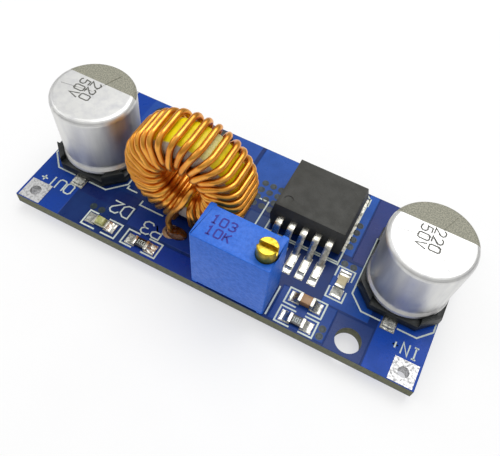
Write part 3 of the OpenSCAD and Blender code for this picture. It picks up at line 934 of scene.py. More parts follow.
@dataclass
class Board:
    """The circuit board: resist, pads, barrels and the white print."""

    line: float = 0.2 * MM
    letter: float = 0.19 * MM

    def zones(self) -> tuple[Zone, ...]:
        """Lists the copper's patches under the resist."""
        span = Span.of("circuit_board")
        left, right, front, back = span.low.x, span.high.x, span.low.y, span.high.y
        coil = Span.of("inductor_core").middle
        regulator = Span.of("regulator_body")
        trimmer = Span.of("trimmer_housing")
        cap = Span.of("input_capacitor_base")

        def zone(x0: float, y0: float, x1: float, y1: float, shade: Shade, strength: float = 1.0) -> Zone:
            """Makes a zone from millimetres off the board's corners."""
            return Zone((x0, y0), (x1, y1), shade, strength)

        bright = paint(0.12, 0.30, 0.66)
        navy = paint(0.06, 0.12, 0.36)
        return (
            zone(left, back - 6.5 * MM, coil.x + 3 * MM, back, paint(0.15, 0.31, 0.64)),
            zone(coil.x + 3.6 * MM, back - 8.2 * MM, regulator.low.x + 1 * MM, back, paint(0.14, 0.33, 0.67)),
            zone(left, front, left + 6.3 * MM, back, paint(0.07, 0.25, 0.62)),
            zone(left + 6.5 * MM, front + 4.3 * MM, left + 14.2 * MM, front + 7 * MM, navy, 0.8),
            zone(left + 9.2 * MM, front, left + 11 * MM, front + 5 * MM, navy, 0.35),
            zone(left + 14.5 * MM, front + 3 * MM, trimmer.low.x - 1 * MM, front + 7 * MM, paint(0.10, 0.21, 0.52)),
            zone(left + 16 * MM, front, trimmer.low.x + 2 * MM, front + 2.6 * MM, paint(0.06, 0.20, 0.56)),
            zone(trimmer.low.x + 1.5 * MM, trimmer.high.y + 0.6 * MM, regulator.low.x + 0.4 * MM, regulator.low.y + 0.9 * MM, paint(0.20, 0.30, 0.50), 0.7),
            zone(regulator.high.x + 0.1 * MM, front + 12.6 * MM, regulator.high.x + 1.4 * MM, back, paint(0.10, 0.33, 0.68)),
            zone(regulator.high.x + 1.6 * MM, front + 12.2 * MM, cap.low.x + 2 * MM, back, paint(0.17, 0.22, 0.47)),
            zone(regulator.high.x + 0.4 * MM, front + 5.2 * MM, cap.low.x + 3 * MM, front + 11.8 * MM, paint(0.10, 0.29, 0.62)),
            zone(trimmer.high.x + 0.6 * MM, front + 0.3 * MM, trimmer.high.x + 7.6 * MM, front + 5 * MM, paint(0.10, 0.26, 0.56)),
            zone(right - 11.2 * MM, front, right - 6.6 * MM, front + 4.9 * MM, paint(0.16, 0.24, 0.46)),
            zone(right - 6.4 * MM, front, right, front + 11 * MM, paint(0.07, 0.28, 0.68)),
            zone(right - 6.4 * MM, front + 12 * MM, right, back, bright, 0.6),
        )

    def print_white(self, finish: bpy.types.Material) -> None:
        """Draws the outlines of the components and the letters beside the wires' pads.

        Args:
            finish: The white ink.
        """
        pen = Pen("board_print", Span.of("circuit_board").high.z, self.line)
        lines: dict[str, tuple[Stroke, ...]] = {
            "output_capacitor_base": (
                ((-5.47, 4.9), (-5.47, -3.4), (-3.67, -5.35), (-1.07, -5.35)),
                ((1.03, -5.35), (3.6, -5.35), (5.63, -3.2), (5.63, 5.35), (1.2, 5.35)),
                ((-1.2, 5.35), (-5.47, 5.35), (-5.47, 5.0)),
            ),
            "input_capacitor_base": (
                ((-5.35, 4.72), (-5.35, -4.22), (-3.54, -5.95), (-1.05, -5.95)),
                ((1.05, -5.95), (3.52, -5.95), (5.1, -4.3), (5.1, 4.6)),
            ),
            "inductor_core": (
                ((-9.2, -0.6), (-9.2, -1.12), (-7.7, -1.12)),
                ((-6.36, -1.79), (-6.38, -2.55), (-2.9, -2.55)),
                ((6.39, 6.15), (7.81, 6.15), (7.81, -2.5), (3.6, -2.5)),
            ),
            "regulator_body": (
                ((-5.06, 6.2), (-5.06, -5.11), (5.19, -5.11)),
                ((-5.06, -5.41), (5.19, -5.41), (5.19, 6.04), (4.6, 6.6)),
            ),
            "trimmer_housing": (((5.02, 2.08), (5.02, -2.08)),),
            "led_base": (
                ((-1.02, 0.98), (-2.25, 0.98), (-2.25, -1.17), (-0.3, -1.17)),
                ((0.56, 0.98), (2.54, 0.98), (2.54, -1.17), (0.6, -1.17)),
            ),
            "led_resistor_body": (
                ((-0.85, 1.18), (-2.47, 1.18), (-2.47, -0.93), (-0.85, -0.93)),
                ((0.45, 1.18), (2.38, 1.18), (2.38, -0.93), (0.45, -0.93)),
            ),
            "feedback_capacitor_body": (
                ((-0.98, 1.05), (-2.41, 1.05), (-2.41, -1.11), (-0.8, -1.11)),
                ((0.91, 1.05), (2.41, 1.05), (2.41, -1.11), (0.68, -1.11)),
            ),
            "feedback_resistor_body": (
                ((-0.52, 1.15), (-2.41, 1.15), (-2.41, -1.0), (-0.52, -1.0)),
                ((0.65, 1.15), (2.38, 1.15), (2.38, -1.0), (0.65, -1.0)),
            ),
            "supply_capacitor_body": (
                ((-1.12, 0.79), (-1.12, 2.32), (1.05, 2.32), (1.05, 0.79)),
                ((-1.12, -0.76), (-1.12, -2.31), (1.05, -2.31), (1.05, -0.76)),
            ),
        }
        for node, strokes in lines.items():
            for stroke in strokes:
                pen.line([(x * MM, y * MM) for x, y in stroke], Span.of(node).middle)
        regulator = Span.of("regulator_body")
        pen.line([(5.25 * MM, 4.7 * MM), (5.25 * MM, 6.1 * MM)], regulator.middle, 0.42 * MM)
        pads = Bench.islands("wire_terminal_pads")
        left, right = pads[0].middle, pads[-2].middle
        led, resistor, diode = (Span.of(n).middle for n in ("led_base", "led_resistor_body", "diode_body"))
        pen.width = self.letter
        for words, start, height, glyph, step, about in (
            ("OUT+", (3.95, 3.0), 1.55, 1.02, 1.25, left),
            ("IN+", (0.9, 3.45), 1.5, 0.8, 1.22, right),
            ("D2", (2.35, 3.8), 1.75, 1.25, 1.5, led),
            ("R3", (1.4, 3.3), 1.8, 1.2, 1.45, resistor),
            ("D1", (7.39, 1.3), 1.75, 1.25, 1.5, diode),
        ):
            pen.text(words, (start[0] * MM, start[1] * MM), height * MM, glyph * MM, step * MM, about=about)
        Bench.finish(pen.drawn(), finish, Slot.WHITE_PRINT)

    def via_rings(self, finish: bpy.types.Material) -> None:
        """Puts the ring of resist round the mouth of each via.

        Args:
            finish: The thin resist over the plating.
        """
        top = Span.of("circuit_board").high.z
        mouths = Bench.islands("via_barrels")
        radius = mouths[0].size.x / 2
        Bench.clear()
        bpy.ops.mesh.primitive_circle_add(vertices=28, radius=radius + 0.17 * MM, location=(0, 0, 0))
        ring = Bench.named("via_ring")
        bpy.ops.object.mode_set(mode="EDIT")
        bpy.ops.mesh.select_all(action="SELECT")
        bpy.ops.mesh.extrude_edges_move()
        scale = (radius + 0.02 * MM) / (radius + 0.17 * MM)
        bpy.ops.transform.resize(value=(scale, scale, 1))
        bpy.ops.mesh.extrude_edges_move(TRANSFORM_OT_translate={"value": (0, 0, -0.02 * MM)})
        bpy.ops.transform.resize(value=(0.8, 0.8, 1))
        bpy.ops.mesh.edge_face_add()
        bpy.ops.mesh.select_all(action="SELECT")
        bpy.ops.mesh.normals_make_consistent(inside=False)
        bpy.ops.object.mode_set(mode="OBJECT")
        if ring.data.polygons[0].normal.z < 0:
            ring.data.flip_normals()
        places = [Matrix.Translation((m.middle.x, m.middle.y, top + 0.022 * MM)) for m in mouths]
        Bench.finish(Bench.repeated(ring, places, "via_rings"), finish, Slot.PLATING)

    def build(self, palette: "Palette") -> None:
        """Dresses the board and adds its print.

        Args:
            palette: The finishes.
        """
        span = Span.of("circuit_board")
        Bench.dress("circuit_board", Resist("blue_resist", self.zones(), span.low.z, span.high.z).made())
        Bench.dress("wire_terminal_pads", palette.levelled_tin)
        Bench.dress("pin_pads", palette.tin)
        Bench.dress("via_barrels", palette.via)
        Bench.dress("component_pads", palette.tin)
        self.via_rings(palette.via_ring)
        self.print_white(palette.white_ink)


@dataclass
class Capacitor:
    """One aluminium capacitor: can, base, terminals and the figures on its top."""

    side: str
    segment: float
    volts_at: float
    value_at: float
    stroke: float = 0.17 * MM
    figure: float = 1.25 * MM
    glyph: float = 0.78 * MM
    step: float = 1.13 * MM

    def build(self, palette: "Palette") -> None:
        """Dresses the can, rounds the base and prints the figures.

        Args:
            palette: The finishes.
        """
        can = Span.of(f"{self.side}_capacitor_can")
        centre = (can.middle.x, can.middle.y, can.high.z)
        Bench.dress(f"{self.side}_capacitor_can", CanMetal(f"{self.side}_can_metal", centre, self.segment).made())
        for part, width, finish, slot in (("base", 0.12 * MM, palette.base_plastic, Slot.BASE),
                                          ("terminals", 0.05 * MM, palette.tin, Slot.TERMINAL)):
            node = f"{self.side}_capacitor_{part}"
            Bench.finish(Bench.softened(node, f"{self.side}_{part}_rounded", width), finish, slot, (node,))
        pen = Pen(f"{self.side}_can_print", can.high.z - 0.004 * MM, self.stroke, 0.012 * MM)
        for words, at, begin in (("50V", self.volts_at, 1.3 * MM), ("220", self.value_at, 1.45 * MM)):
            pen.text(words, (at - self.figure / 2, begin), self.figure, self.glyph, self.step,
                     along=(0, -1), up=(1, 0), about=can.middle)
        Bench.finish(pen.drawn(), palette.grey_ink, Slot.DARK_PRINT)


@dataclass
class Inductor:
    """The wound core: a smooth wire in place of the frame's, and the core's paint."""

    wire: float = 0.8 * MM
    turns: int = 34
    hole: float = 3.85 * MM
    gap: float = 0.05 * MM
    outer_bend: float = 1.5 * MM
    inner_bend: float = 1.25 * MM
    nest: float = 0.72
    steps: int = 7
    start: float = 281.0
    sweep: float = 338.0
    seed: int = 11

    def __post_init__(self) -> None:
        """Takes the core's place and works out where the wire runs."""
        core = Span.of("inductor_core")
        self.centre = core.middle
        self.r_out = core.size.x / 2 + self.gap + self.wire / 2
        self.r_in = self.hole - self.gap - self.wire / 2
        self.face = core.size.y / 2 + self.gap + self.wire / 2
        self.half_width = core.size.y / 2
        self.pitch = self.sweep / (self.turns - 1)
        self.dice = random.Random(self.seed)

    @staticmethod
    def between(angle: float, table: tuple[Flat, ...]) -> float:
        """Reads a value that changes evenly between the angles of a short list.

        Args:
            angle: The angle.
            table: Angles with their values.

        Returns:
            The value.
        """
        for (a, p), (b, q) in zip(table, table[1:]):
            if angle <= b:
                return p + (q - p) * max(0.0, angle - a) / (b - a)
        return table[-1][1]

    def slant(self, angle: float) -> float:
        """How far a strand leans from the rim to the hole on the front face, in degrees."""
        return self.between(angle, ((285, 2), (380, 1), (415, 0), (444, 3), (473, 8), (524, 11), (563, 2), (615, 0)))

    def rim(self, turn: int) -> float:
        """The angle at which a turn crosses the rim, in degrees."""
        return self.between(turn, ((0, 281), (8, 365), (10, 381), (11, 391.5), (14, 420.5), (16, 443), (17, 453),
                                   (18, 467), (19, 478), (20, 486), (33, 619)))

    def point(self, r: float, y: float, angle: float) -> Vector:
        """A point at a radius and an angle round the core, y along its axis."""
        a = math.radians(angle)
        return self.centre + Vector((r * math.cos(a), y, r * math.sin(a)))

    def bend(self, r: float, y: float, radius: float, start: float, end: float, angle: float, steps: int = 6) -> list[Vector]:
        """A bend of the wire in the plane of one turn.

        Args:
            r: Radius of the bend's centre.
            y: Place of the bend's centre along the axis.
            radius: Radius of the bend.
            start: Angle at which it starts.
            end: Angle at which it ends.
            angle: Where round the core it is.
            steps: Points along it, less one.

        Returns:
            The points.
        """
        found = []
        for i in range(steps + 1):
            a = math.radians(start + (end - start) * i / steps)
            found.append(self.point(r + radius * math.cos(a), y + radius * math.sin(a), angle))
        return found

    def section(self, drop: float) -> list[tuple[Flat, Flat, float]]:
        """Follows half a turn across the core, from the rim over the face and into the hole.

        Args:
            drop: How much closer to the core this turn lies at the rim.

        Returns:
            Points as radius and height over the core's middle, each with the way that the core faces
            there and with its distance from the start.
        """
        rim = (self.r_out - self.outer_bend - drop, self.face - self.outer_bend, self.outer_bend)
        mouth = (self.r_in + self.inner_bend, self.face - self.inner_bend, self.inner_bend)
        found: list[tuple[Flat, Flat, float]] = []
        for (r, y, bend), begin in ((rim, 0), (mouth, 90)):
            for i in range(self.steps + 1):
                a = math.radians(begin + 90 * i / self.steps)
                spot = (r + bend * math.cos(a), y + bend * math.sin(a))
                gone = found[-1][2] + math.dist(found[-1][0], spot) if found else 0.0
                found.append((spot, (math.cos(a), math.sin(a)), gone))
        return found

    def half_turn(self, rim: float, hole: float, upper: bool, front: bool, drop: float) -> list[Vector]:
        """Half a turn: from the rim into the hole in front, or out of it to the rim behind.

        Args:
            rim: Angle on the rim.
            hole: Angle in the hole.
            upper: Whether it lies on its neighbours in the hole.
            front: Whether it is the front half.
            drop: How much closer to the core this turn lies.

        Returns:
            The points, in the order that the wire runs.
        """
        way = -1.0 if front else 1.0
        line = self.section(drop)
        flat, end = line[self.steps][2], line[-1][2]
        run = []
        for (r, y), (out, up), gone in line:
            near = max(0.0, (gone - flat) / (end - flat))
            lift = self.nest * self.wire * near * near * (3 - 2 * near) if upper else 0.0
            share = gone / end
            swing = 0.4 * share + 0.6 * share * share * (3 - 2 * share)
            run.append(self.point(r + lift * out, way * (y + lift * up), rim + (hole - rim) * swing))
        return run if front else run[::-1]

    def path(self) -> list[Vector]:
        """Follows the wire from the board, round the core and back to the board.

        Returns:
            The points.
        """
        board = Span.of("circuit_board").high.z
        tip = 0.15 * MM
        front = Vector((self.centre.x - 0.85 * MM, self.centre.y - self.face - 1.2 * MM, 0))
        back = Vector((self.centre.x + 0.4 * MM, self.centre.y + self.face + 1.3 * MM, 0))
        lay = self.face + 0.85 * self.wire

        def lead(x: float, y: float, z: float) -> Vector:
            """A point of the front lead, off the core's middle."""
            return self.centre + Vector((x * MM, y, z * MM))

        run = [Vector((front.x, front.y, tip)), Vector((front.x, front.y, board + 0.5 * MM)),
               lead(-1.25, -lay - 0.28 * MM, -6.2), lead(-0.75, -lay - 0.12 * MM, -4.3), lead(0.35, -lay - 0.1 * MM, -2.4),
               lead(1.05, -lay + 0.25 * MM, -0.9), lead(1.45, -self.face + 0.6 * MM, 0.15),
               lead(1.6, -1.2 * MM, 0.0), lead(1.5, 0.6 * MM, -1.0), lead(1.0, 1.9 * MM, -1.9)]
        rims = []
        for i in range(self.turns):
            loose = self.dice.uniform(-0.6, 0.6) if 0 < i < self.turns - 1 else 0.0
            rims.append(self.rim(i) + loose)
        run += self.half_turn(rims[0], rims[0] - 0.6 * self.pitch, True, False, 0.0)
        for i in range(self.turns - 1):
            even = self.start + i * self.pitch
            hole = even + self.pitch / 2 + self.slant(even) + self.dice.uniform(-0.4, 0.4)
            upper = i % 2 == 1
            drop = self.dice.uniform(-0.02, 0.04) * MM
            run += self.half_turn(rims[i], hole, upper, True, drop)
            run += self.half_turn(rims[i + 1], hole, upper, False, drop)
        last = rims[-1]
        hole = last + self.pitch / 2
        run += self.half_turn(last, hole, True, True, 0.0)
        run += self.half_turn(last + 2, hole, True, False, 0.0)[:self.steps + 1]
        run += [self.point((self.r_out + self.r_in) / 2, self.face + 0.5 * MM, hole + 3),
                Vector((back.x, back.y, board + 1.2 * MM)), Vector((back.x, back.y, board + 0.5 * MM)),
                Vector((back.x, back.y, tip))]
        return run

    @staticmethod
    def smoothed(points: list[Vector], steps: int = 3) -> list[Vector]:
        """Rounds a line through its points, with more points between them.

        Args:
            points: The points.
            steps: Points made from each one.

        Returns:
            The finer line.
        """
        kept = [points[0]] + [b for a, b in zip(points, points[1:]) if (b - a).length > 0.02 * MM]
        fine = []
        for i in range(len(kept) - 1):
            p0, p1, p2, p3 = kept[max(i - 1, 0)], kept[i], kept[i + 1], kept[min(i + 2, len(kept) - 1)]
            span = (p2 - p1).length
            m1 = (p2 - p0) / max((p2 - p0).length, 1e-9) * span
            m2 = (p3 - p1) / max((p3 - p1).length, 1e-9) * span
            count = max(1, min(steps, round(span / (0.22 * MM))))
            for k in range(count):
                t = k / count
                fine.append(p1 * (2 * t**3 - 3 * t**2 + 1) + m1 * (t**3 - 2 * t**2 + t)
                            + p2 * (-2 * t**3 + 3 * t**2) + m2 * (t**3 - t**2))
        return fine + [kept[-1]]

    def wound(self) -> bpy.types.Object:
        """Sweeps the wire along its path.

        Returns:
            The winding.
        """
        Bench.clear()
        bpy.ops.curve.primitive_nurbs_path_add()
        piece = Bench.named("inductor_wire")
        curve = piece.data
        curve.splines.clear()
        line = self.smoothed(self.path())
        spline = curve.splines.new("POLY")
        spline.points.add(len(line) - 1)
        for spot, place in zip(spline.points, line):
            spot.co = (*place, 1.0)
        curve.dimensions = "3D"
        curve.twist_mode = "MINIMUM"
        curve.bevel_depth = self.wire / 2
        curve.bevel_resolution = 4
        curve.use_fill_caps = True
        Bench.settle(piece)
        bpy.ops.object.convert(target="MESH")
        piece = Bench.named("inductor_wire")
        bpy.ops.object.shade_smooth()
        return piece

    def build(self, palette: "Palette") -> None:
        """Paints the core and winds it.

        Args:
            palette: The finishes.
        """
        Bench.dress("inductor_core", CorePaint("core_paint", tuple(self.centre), self.half_width).made())
        Bench.finish(self.wound(), palette.enamel, Slot.WIRE, ("inductor_winding",))


@dataclass
class Regulator:
    """The regulator: epoxy moulding, heat tab and five formed leads."""

    edge: float = 0.07 * MM

    def build(self, palette: "Palette") -> None:
        """Rounds the moulding's edges and dresses the metal.

        Args:
            palette: The finishes.
        """
        for node, name, width, finish, slot in (
            ("regulator_body", "regulator_moulding", self.edge, palette.epoxy, Slot.REGULATOR),
            ("regulator_leads", "regulator_legs", 0.06 * MM, palette.bright_tin, Slot.TERMINAL),
            ("regulator_heat_tab", "regulator_tab", 0.08 * MM, palette.tin, Slot.TERMINAL),
        ):
            Bench.finish(Bench.softened(node, name, width), finish, slot, (node,))


@dataclass
class Trimmer:
    """The trimmer: case, potting, pins and the brass screw that turns."""

    stroke: float = 0.2 * MM

    def build(self, palette: "Palette") -> None:
        """Rounds the case and the screw, and prints the value.

        Args:
            palette: The finishes.
        """
        Bench.finish(Bench.softened("trimmer_housing", "trimmer_case", 0.16 * MM, 3), palette.trimmer_blue, Slot.TRIMMER,
                     ("trimmer_housing",))
        Bench.finish(Bench.softened("trimmer_screw", "trimmer_brass", 0.05 * MM, 2, 50), palette.brass, Slot.BRASS,
                     ("trimmer_screw",), Body.SCREW)
        Bench.dress("trimmer_potting", palette.potting)
        Bench.dress("trimmer_screw_seal", palette.rubber)
        Bench.dress("trimmer_pins", palette.tin)
        case = Span.of("trimmer_housing")
        pen = Pen("trimmer_print", case.high.z - 0.004 * MM, self.stroke, 0.012 * MM)
        for words, start in (("103", (-3.55, 0.05)), ("10K", (-3.45, -1.45))):
            pen.text(words, (start[0] * MM, start[1] * MM), 1.05 * MM, 0.72 * MM, 1.05 * MM, along=(1, 0), up=(0, 1),
                     about=case.middle)
        Bench.finish(pen.drawn(), palette.violet_ink, Slot.DARK_PRINT)


@dataclass
class SmallParts:
    """The diode, the light-emitting diode and the chip parts."""

    figure: float = 0.52 * MM

    def build(self, palette: "Palette") -> None:
        """Rounds the small parts, dresses them and prints the resistors' figures.

        Args:
            palette: The finishes.
        """
        for node, name, width, finish, slot in (
            ("diode_body", "diode_moulding", 0.08 * MM, palette.epoxy, Slot.DIODE),
            ("diode_terminals", "diode_straps", 0.04 * MM, palette.tin, Slot.TERMINAL),
            ("led_base", "led_substrate", 0.02 * MM, palette.cream, Slot.LED_BASE),
            ("led_lens", "led_clear_block", 0.05 * MM, palette.lens, Slot.LENS),
            ("led_terminals", "led_ends", 0.02 * MM, palette.tin, Slot.END_CAP),
            ("led_resistor_body", "led_resistor_block", 0.03 * MM, palette.black_glass, Slot.RESISTOR),
            ("led_resistor_ends", "led_resistor_caps", 0.04 * MM, palette.bright_tin, Slot.END_CAP),
            ("feedback_resistor_body", "feedback_resistor_block", 0.03 * MM, palette.black_glass, Slot.RESISTOR),
            ("feedback_resistor_ends", "feedback_resistor_caps", 0.04 * MM, palette.bright_tin, Slot.END_CAP),
            ("feedback_capacitor_body", "feedback_capacitor_block", 0.05 * MM, palette.tan_ceramic, Slot.CERAMIC),
            ("feedback_capacitor_ends", "feedback_capacitor_caps", 0.06 * MM, palette.bright_tin, Slot.END_CAP),
            ("supply_capacitor_body", "supply_capacitor_block", 0.05 * MM, palette.cream_ceramic, Slot.CERAMIC),
            ("supply_capacitor_ends", "supply_capacitor_caps", 0.06 * MM, palette.bright_tin, Slot.END_CAP),
        ):
            Bench.finish(Bench.softened(node, name, width), finish, slot, (node,))
        for side, words in (("led", "103"), ("feedback", "101")):
            body = Span.of(f"{side}_resistor_body")
            pen = Pen(f"{side}_resistor_print", body.high.z - 0.002 * MM, 0.07 * MM, 0.01 * MM)
            pen.text(words, (-0.5 * MM, -0.26 * MM), self.figure, 0.26 * MM, 0.37 * MM, along=(1, 0), up=(0, 1),
                     about=body.middle)
            Bench.finish(pen.drawn(), palette.white_ink, Slot.WHITE_PRINT)


@dataclass
class Joints:
    """Solder and flux: the frame's fillets, a cushion on each pad and the lumps on the terminals."""

    def cushion(self) -> bpy.types.Object:
        """Models one pad's cushion of solder, one metre each way and half as high.

        Returns:
            The cushion, about the origin.
        """
        Bench.clear()
        bpy.ops.mesh.primitive_cube_add(size=1)
        piece = Bench.named("solder_cushion")
        Bench.modify(piece, "BEVEL", width=0.16, segments=2, limit_method="NONE")
        Bench.modify(piece, "SUBSURF", levels=2, render_levels=2)
        bpy.ops.object.mode_set(mode="EDIT")
        bpy.ops.mesh.select_all(action="SELECT")
        bpy.ops.mesh.bisect(plane_co=(0, 0, 0), plane_no=(0, 0, 1), use_fill=True, clear_inner=True)
        bpy.ops.object.mode_set(mode="OBJECT")
        Bench.smooth(piece, 60)
        return piece

    def pad_cushions(self, finish: bpy.types.Material) -> None:
        """Puts a low cushion of solder on each of the components' pads.

        Args:
            finish: The solder.
        """
        places = []
        for pad in Bench.islands("component_pads"):
            if pad.size.x > 6 * MM:
                continue
            size = (pad.size.x * 0.985, pad.size.y * 0.985, 0.16 * MM)
            places.append(Matrix.Translation((pad.middle.x, pad.middle.y, pad.high.z)) @ Matrix.Diagonal((*size, 1)))
        Bench.finish(Bench.repeated(self.cushion(), places, "pad_solder"), finish, Slot.SOLDER)

    def terminal_lumps(self, finish: bpy.types.Material) -> None:
        """Puts a lump of solder where each capacitor's front terminal meets its pad.

        Args:
            finish: The solder.
        """
        places = []
        for side in ("output", "input"):
            for end in Bench.islands(f"{side}_capacitor_terminals"):
                front = end.middle.y < Span.of(f"{side}_capacitor_base").middle.y
                y = end.low.y if front else end.high.y
                size = (1.6 * MM, 1.5 * MM, 0.8 * MM)
                places.append(Matrix.Translation((end.middle.x, y + (0.05 if front else -0.05) * MM, end.low.z)) @ Matrix.Diagonal((*size, 1)))
        Bench.finish(Bench.repeated(self.cushion(), places, "terminal_solder"), finish, Slot.SOLDER)

    def flux_puddle(self, finish: bpy.types.Material) -> None:
        """Leaves hardened flux round the winding's front lead.

        Args:
            finish: The flux.
        """
        core = Span.of("inductor_core")
        board = Span.of("circuit_board").high.z
        winding = Span.of("inductor_winding")
        Bench.clear()
        bpy.ops.mesh.primitive_uv_sphere_add(segments=40, ring_count=20, radius=1)
        piece = Bench.named("flux_puddle")
        bpy.ops.object.mode_set(mode="EDIT")
        bpy.ops.mesh.select_all(action="SELECT")
        bpy.ops.mesh.bisect(plane_co=(0, 0, 0), plane_no=(0, 0, 1), use_fill=True, clear_inner=True)
        bpy.ops.object.mode_set(mode="OBJECT")
        piece.scale = (1.5 * MM, 0.95 * MM, 0.5 * MM)
        piece.location = (core.middle.x - 0.15 * MM, winding.low.y + 0.55 * MM, board)
        Bench.settle(piece)
        cloud = bpy.data.textures.new("flux_lumps", "CLOUDS")
        cloud.noise_scale = 0.7 * MM
        Bench.modify(piece, "DISPLACE", texture=cloud, strength=0.35 * MM, mid_level=0.6, direction="Z", texture_coords="LOCAL")
        bpy.ops.object.mode_set(mode="EDIT")
        bpy.ops.mesh.select_all(action="SELECT")
        bpy.ops.mesh.bisect(plane_co=(0, 0, board + 0.004 * MM), plane_no=(0, 0, 1), use_fill=True, clear_inner=True)
        bpy.ops.object.mode_set(mode="OBJECT")
        Bench.smooth(piece, 60)
        Bench.finish(piece, finish, Slot.FLUX)

    def build(self, palette: "Palette") -> None:
        """Dresses the solder and adds the cushions, lumps and flux.

        Args:
            palette: The finishes.
        """
        for node in ("chip_solder", "lead_solder", "pin_solder"):
            Bench.dress(node, palette.solder)
        self.pad_cushions(palette.solder)
        self.terminal_lumps(palette.solder)
        self.flux_puddle(palette.flux)


class Palette:
    """All the finishes that more than one piece may take, made once."""

    def __init__(self) -> None:
        """Makes the finishes."""
        round_grain = (0.3 * MM, 0.3 * MM, 0.3 * MM)
        self.levelled_tin = Metal("levelled_tin", paint(0.80, 0.80, 0.80), paint(0.62, 0.62, 0.62), 0.42, round_grain,
                                  0.01 * MM, 0.3 * MM).made()
        self.tin = Metal("dull_tin", paint(0.74, 0.73, 0.69), paint(0.52, 0.51, 0.47), 0.32, round_grain, 0.006 * MM, 0.5 * MM).made()
        self.bright_tin = Metal("bright_tin", paint(0.84, 0.83, 0.79), paint(0.60, 0.59, 0.54), 0.2,
                                (0.05 * MM, 0.8 * MM, 0.8 * MM), 0.002 * MM, 0.6 * MM).made()
        self.solder = Metal("solder_alloy", paint(0.80, 0.80, 0.77), paint(0.56, 0.56, 0.53), 0.22, round_grain,
                            0.004 * MM, 0.45 * MM, 0.05 * MM).made()
        self.via = Metal("via_plating", paint(0.10, 0.16, 0.15), paint(0.04, 0.07, 0.07), 0.45).made()
        self.via_ring = Moulded("via_resist", paint(0.03, 0.16, 0.20), paint(0.02, 0.09, 0.13), 0.35).made()
        self.brass = Metal("screw_brass_metal", paint(0.84, 0.73, 0.26), paint(0.66, 0.54, 0.14), 0.3, round_grain, 0.008 * MM, 0.5 * MM).made()
        self.base_plastic = Moulded("black_base", paint(0.11, 0.13, 0.13), paint(0.08, 0.09, 0.09), 0.42).made()
        self.epoxy = Moulded("black_epoxy", paint(0.27, 0.27, 0.255), paint(0.235, 0.235, 0.22), 0.62, 1.5 * MM, 0.09 * MM, 0.02 * MM, 0.35).made()
        self.trimmer_blue = Moulded("trimmer_blue", paint(0.10, 0.42, 0.86), paint(0.08, 0.36, 0.78), 0.42, 0.5 * MM, 0.22 * MM, 0.03 * MM, 0.4).made()
        self.potting = Moulded("potting_epoxy", paint(0.16, 0.24, 0.36), paint(0.10, 0.16, 0.26), 0.3).made()
        self.rubber = Moulded("seal_rubber_black", paint(0.10, 0.10, 0.10), paint(0.14, 0.14, 0.13), 0.7).made()
        self.cream = Moulded("led_laminate", paint(0.86, 0.85, 0.74), paint(0.78, 0.77, 0.62), 0.5).made()
        self.lens = Clear("led_resin", paint(0.88, 0.88, 0.62), paint(0.62, 0.66, 0.30), 0.35).made()
        self.black_glass = Moulded("resistor_glaze", paint(0.10, 0.10, 0.10), paint(0.07, 0.07, 0.07), 0.25, coat=0.4).made()
        self.tan_ceramic = Moulded("tan_ceramic", paint(0.66, 0.50, 0.33), paint(0.56, 0.41, 0.25), 0.38).made()
        self.cream_ceramic = Moulded("cream_ceramic", paint(0.80, 0.75, 0.60), paint(0.70, 0.64, 0.48), 0.38).made()
        self.enamel = Enamel("enamelled_copper").made()
        self.flux = Clear("hardened_flux", paint(0.55, 0.30, 0.10), paint(0.30, 0.14, 0.05), 0.5, 0.8 * MM, 0.05 * MM).made()
        self.white_ink = Ink("white_ink", paint(0.84, 0.88, 0.84), paint(0.72, 0.78, 0.78)).made()
        self.grey_ink = Ink("grey_ink", paint(0.36, 0.36, 0.34), paint(0.48, 0.48, 0.46)).made()
        self.violet_ink = Ink("violet_ink", paint(0.20, 0.18, 0.56), paint(0.20, 0.26, 0.66)).made()


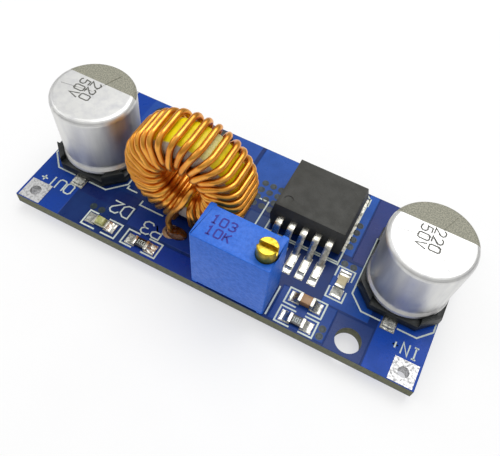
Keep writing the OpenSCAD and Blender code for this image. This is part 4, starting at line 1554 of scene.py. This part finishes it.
@dataclass
class Studio:
    """The floor, the soft lights and the camera."""

    azimuth: float = 19.064
    elevation: float = 57.983
    roll: float = 9.012
    target: Place = (4.227 * MM, -3.739 * MM, 5.908 * MM)
    distance: float = 67.917 * MM
    lens: float = 40.94
    shift: Flat = (-0.0289, 0.0199)
    zenith: float = 0.85
    horizon: float = 0.2

    def floor(self) -> None:
        """Lays the pale floor under the board."""
        Bench.clear()
        bpy.ops.mesh.primitive_grid_add(x_subdivisions=8, y_subdivisions=8, size=4)
        floor = Bench.named("studio_floor")
        graph = Graph("floor_paper")
        fine = graph.noise(0.02)
        graph.shade(Base_Color=graph.mix(fine, (0.40, 0.40, 0.40, 1), (0.44, 0.44, 0.44, 1)), Roughness=0.9, Specular_IOR_Level=0.0,
                    Emission_Color=(1, 1, 1, 1), Emission_Strength=0.55)
        floor.data.materials.append(graph.material)
        floor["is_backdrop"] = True

    def light(self, name: str, place: Place, size: float, power: float, warmth: Shade = (1, 1, 1, 1)) -> None:
        """Hangs a soft light that faces the board.

        Args:
            name: Name of the light.
            place: Where it hangs.
            size: Width of its face.
            power: Its power in watts.
            warmth: Its tint.
        """
        Bench.clear()
        bpy.ops.object.light_add(type="AREA", location=place)
        lamp = Bench.named(name)
        lamp.rotation_euler = (-Vector(place)).to_track_quat("-Z", "Y").to_euler()
        lamp.data.size = size
        lamp.data.energy = power
        lamp.data.color = warmth[:3]

    def room(self) -> None:
        """Surrounds the studio with a pale room, bright overhead and dim at the level of the floor."""
        world = bpy.data.worlds.new("pale_room")
        world.use_nodes = True
        tree = world.node_tree
        background = tree.nodes["Background"]
        split = tree.nodes.new("ShaderNodeSeparateXYZ")
        fade = tree.nodes.new("ShaderNodeMapRange")
        tree.links.new(tree.nodes.new("ShaderNodeTexCoord").outputs["Generated"], split.inputs[0])
        tree.links.new(split.outputs[2], fade.inputs[0])
        fade.inputs[3].default_value, fade.inputs[4].default_value = self.horizon, self.zenith
        tree.links.new(fade.outputs[0], background.inputs[1])
        background.inputs[0].default_value = (1.0, 1.0, 1.0, 1.0)
        bpy.context.scene.world = world

    def camera(self) -> None:
        """Sets the camera at its viewpoint."""
        a, e, r = (math.radians(v) for v in (self.azimuth, self.elevation, self.roll))
        back = Vector((math.sin(a) * math.cos(e), -math.cos(a) * math.cos(e), math.sin(e)))
        right = Vector((math.cos(a), math.sin(a), 0))
        up = back.cross(right)
        turned = math.cos(r) * right + math.sin(r) * up
        rise = -math.sin(r) * right + math.cos(r) * up
        bpy.ops.object.camera_add()
        camera = Bench.named("viewpoint")
        pose = Matrix((turned, rise, back)).transposed().to_4x4()
        pose.translation = Vector(self.target) + back * self.distance
        camera.matrix_world = pose
        camera.data.sensor_width = 36
        camera.data.lens = self.lens
        camera.data.shift_x, camera.data.shift_y = self.shift
        camera.data.clip_start = 1 * MM
        camera.data.clip_end = 10
        bpy.context.scene.camera = camera

    def build(self) -> None:
        """Sets up the whole studio."""
        self.floor()
        self.light("overhead_softbox", (0.02, 0.16, 0.40), 0.30, 0.9)
        self.light("left_fill", (-0.34, -0.04, 0.24), 0.22, 0.2)
        self.room()
        scene = bpy.context.scene
        scene.view_settings.view_transform = "Standard"
        self.camera()
        log.info("studio ready")


def corners() -> list[list[float]]:
    """Gives the whole object's box as plain lists."""
    return [list(corner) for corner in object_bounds()]


def main() -> None:
    """Builds the sub-assemblies in order."""
    logging.basicConfig(level=logging.INFO, format="%(name)s: %(message)s")
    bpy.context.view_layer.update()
    palette = Palette()
    Board().build(palette)
    for capacitor in (Capacitor("output", 1.75 * MM, -1.7 * MM, -0.25 * MM), Capacitor("input", 1.6 * MM, -1.15 * MM, 0.35 * MM)):
        capacitor.build(palette)
    Inductor().build(palette)
    Regulator().build(palette)
    Trimmer().build(palette)
    SmallParts().build(palette)
    Joints().build(palette)
    Studio().build()


if __name__ == "__main__":
    main()
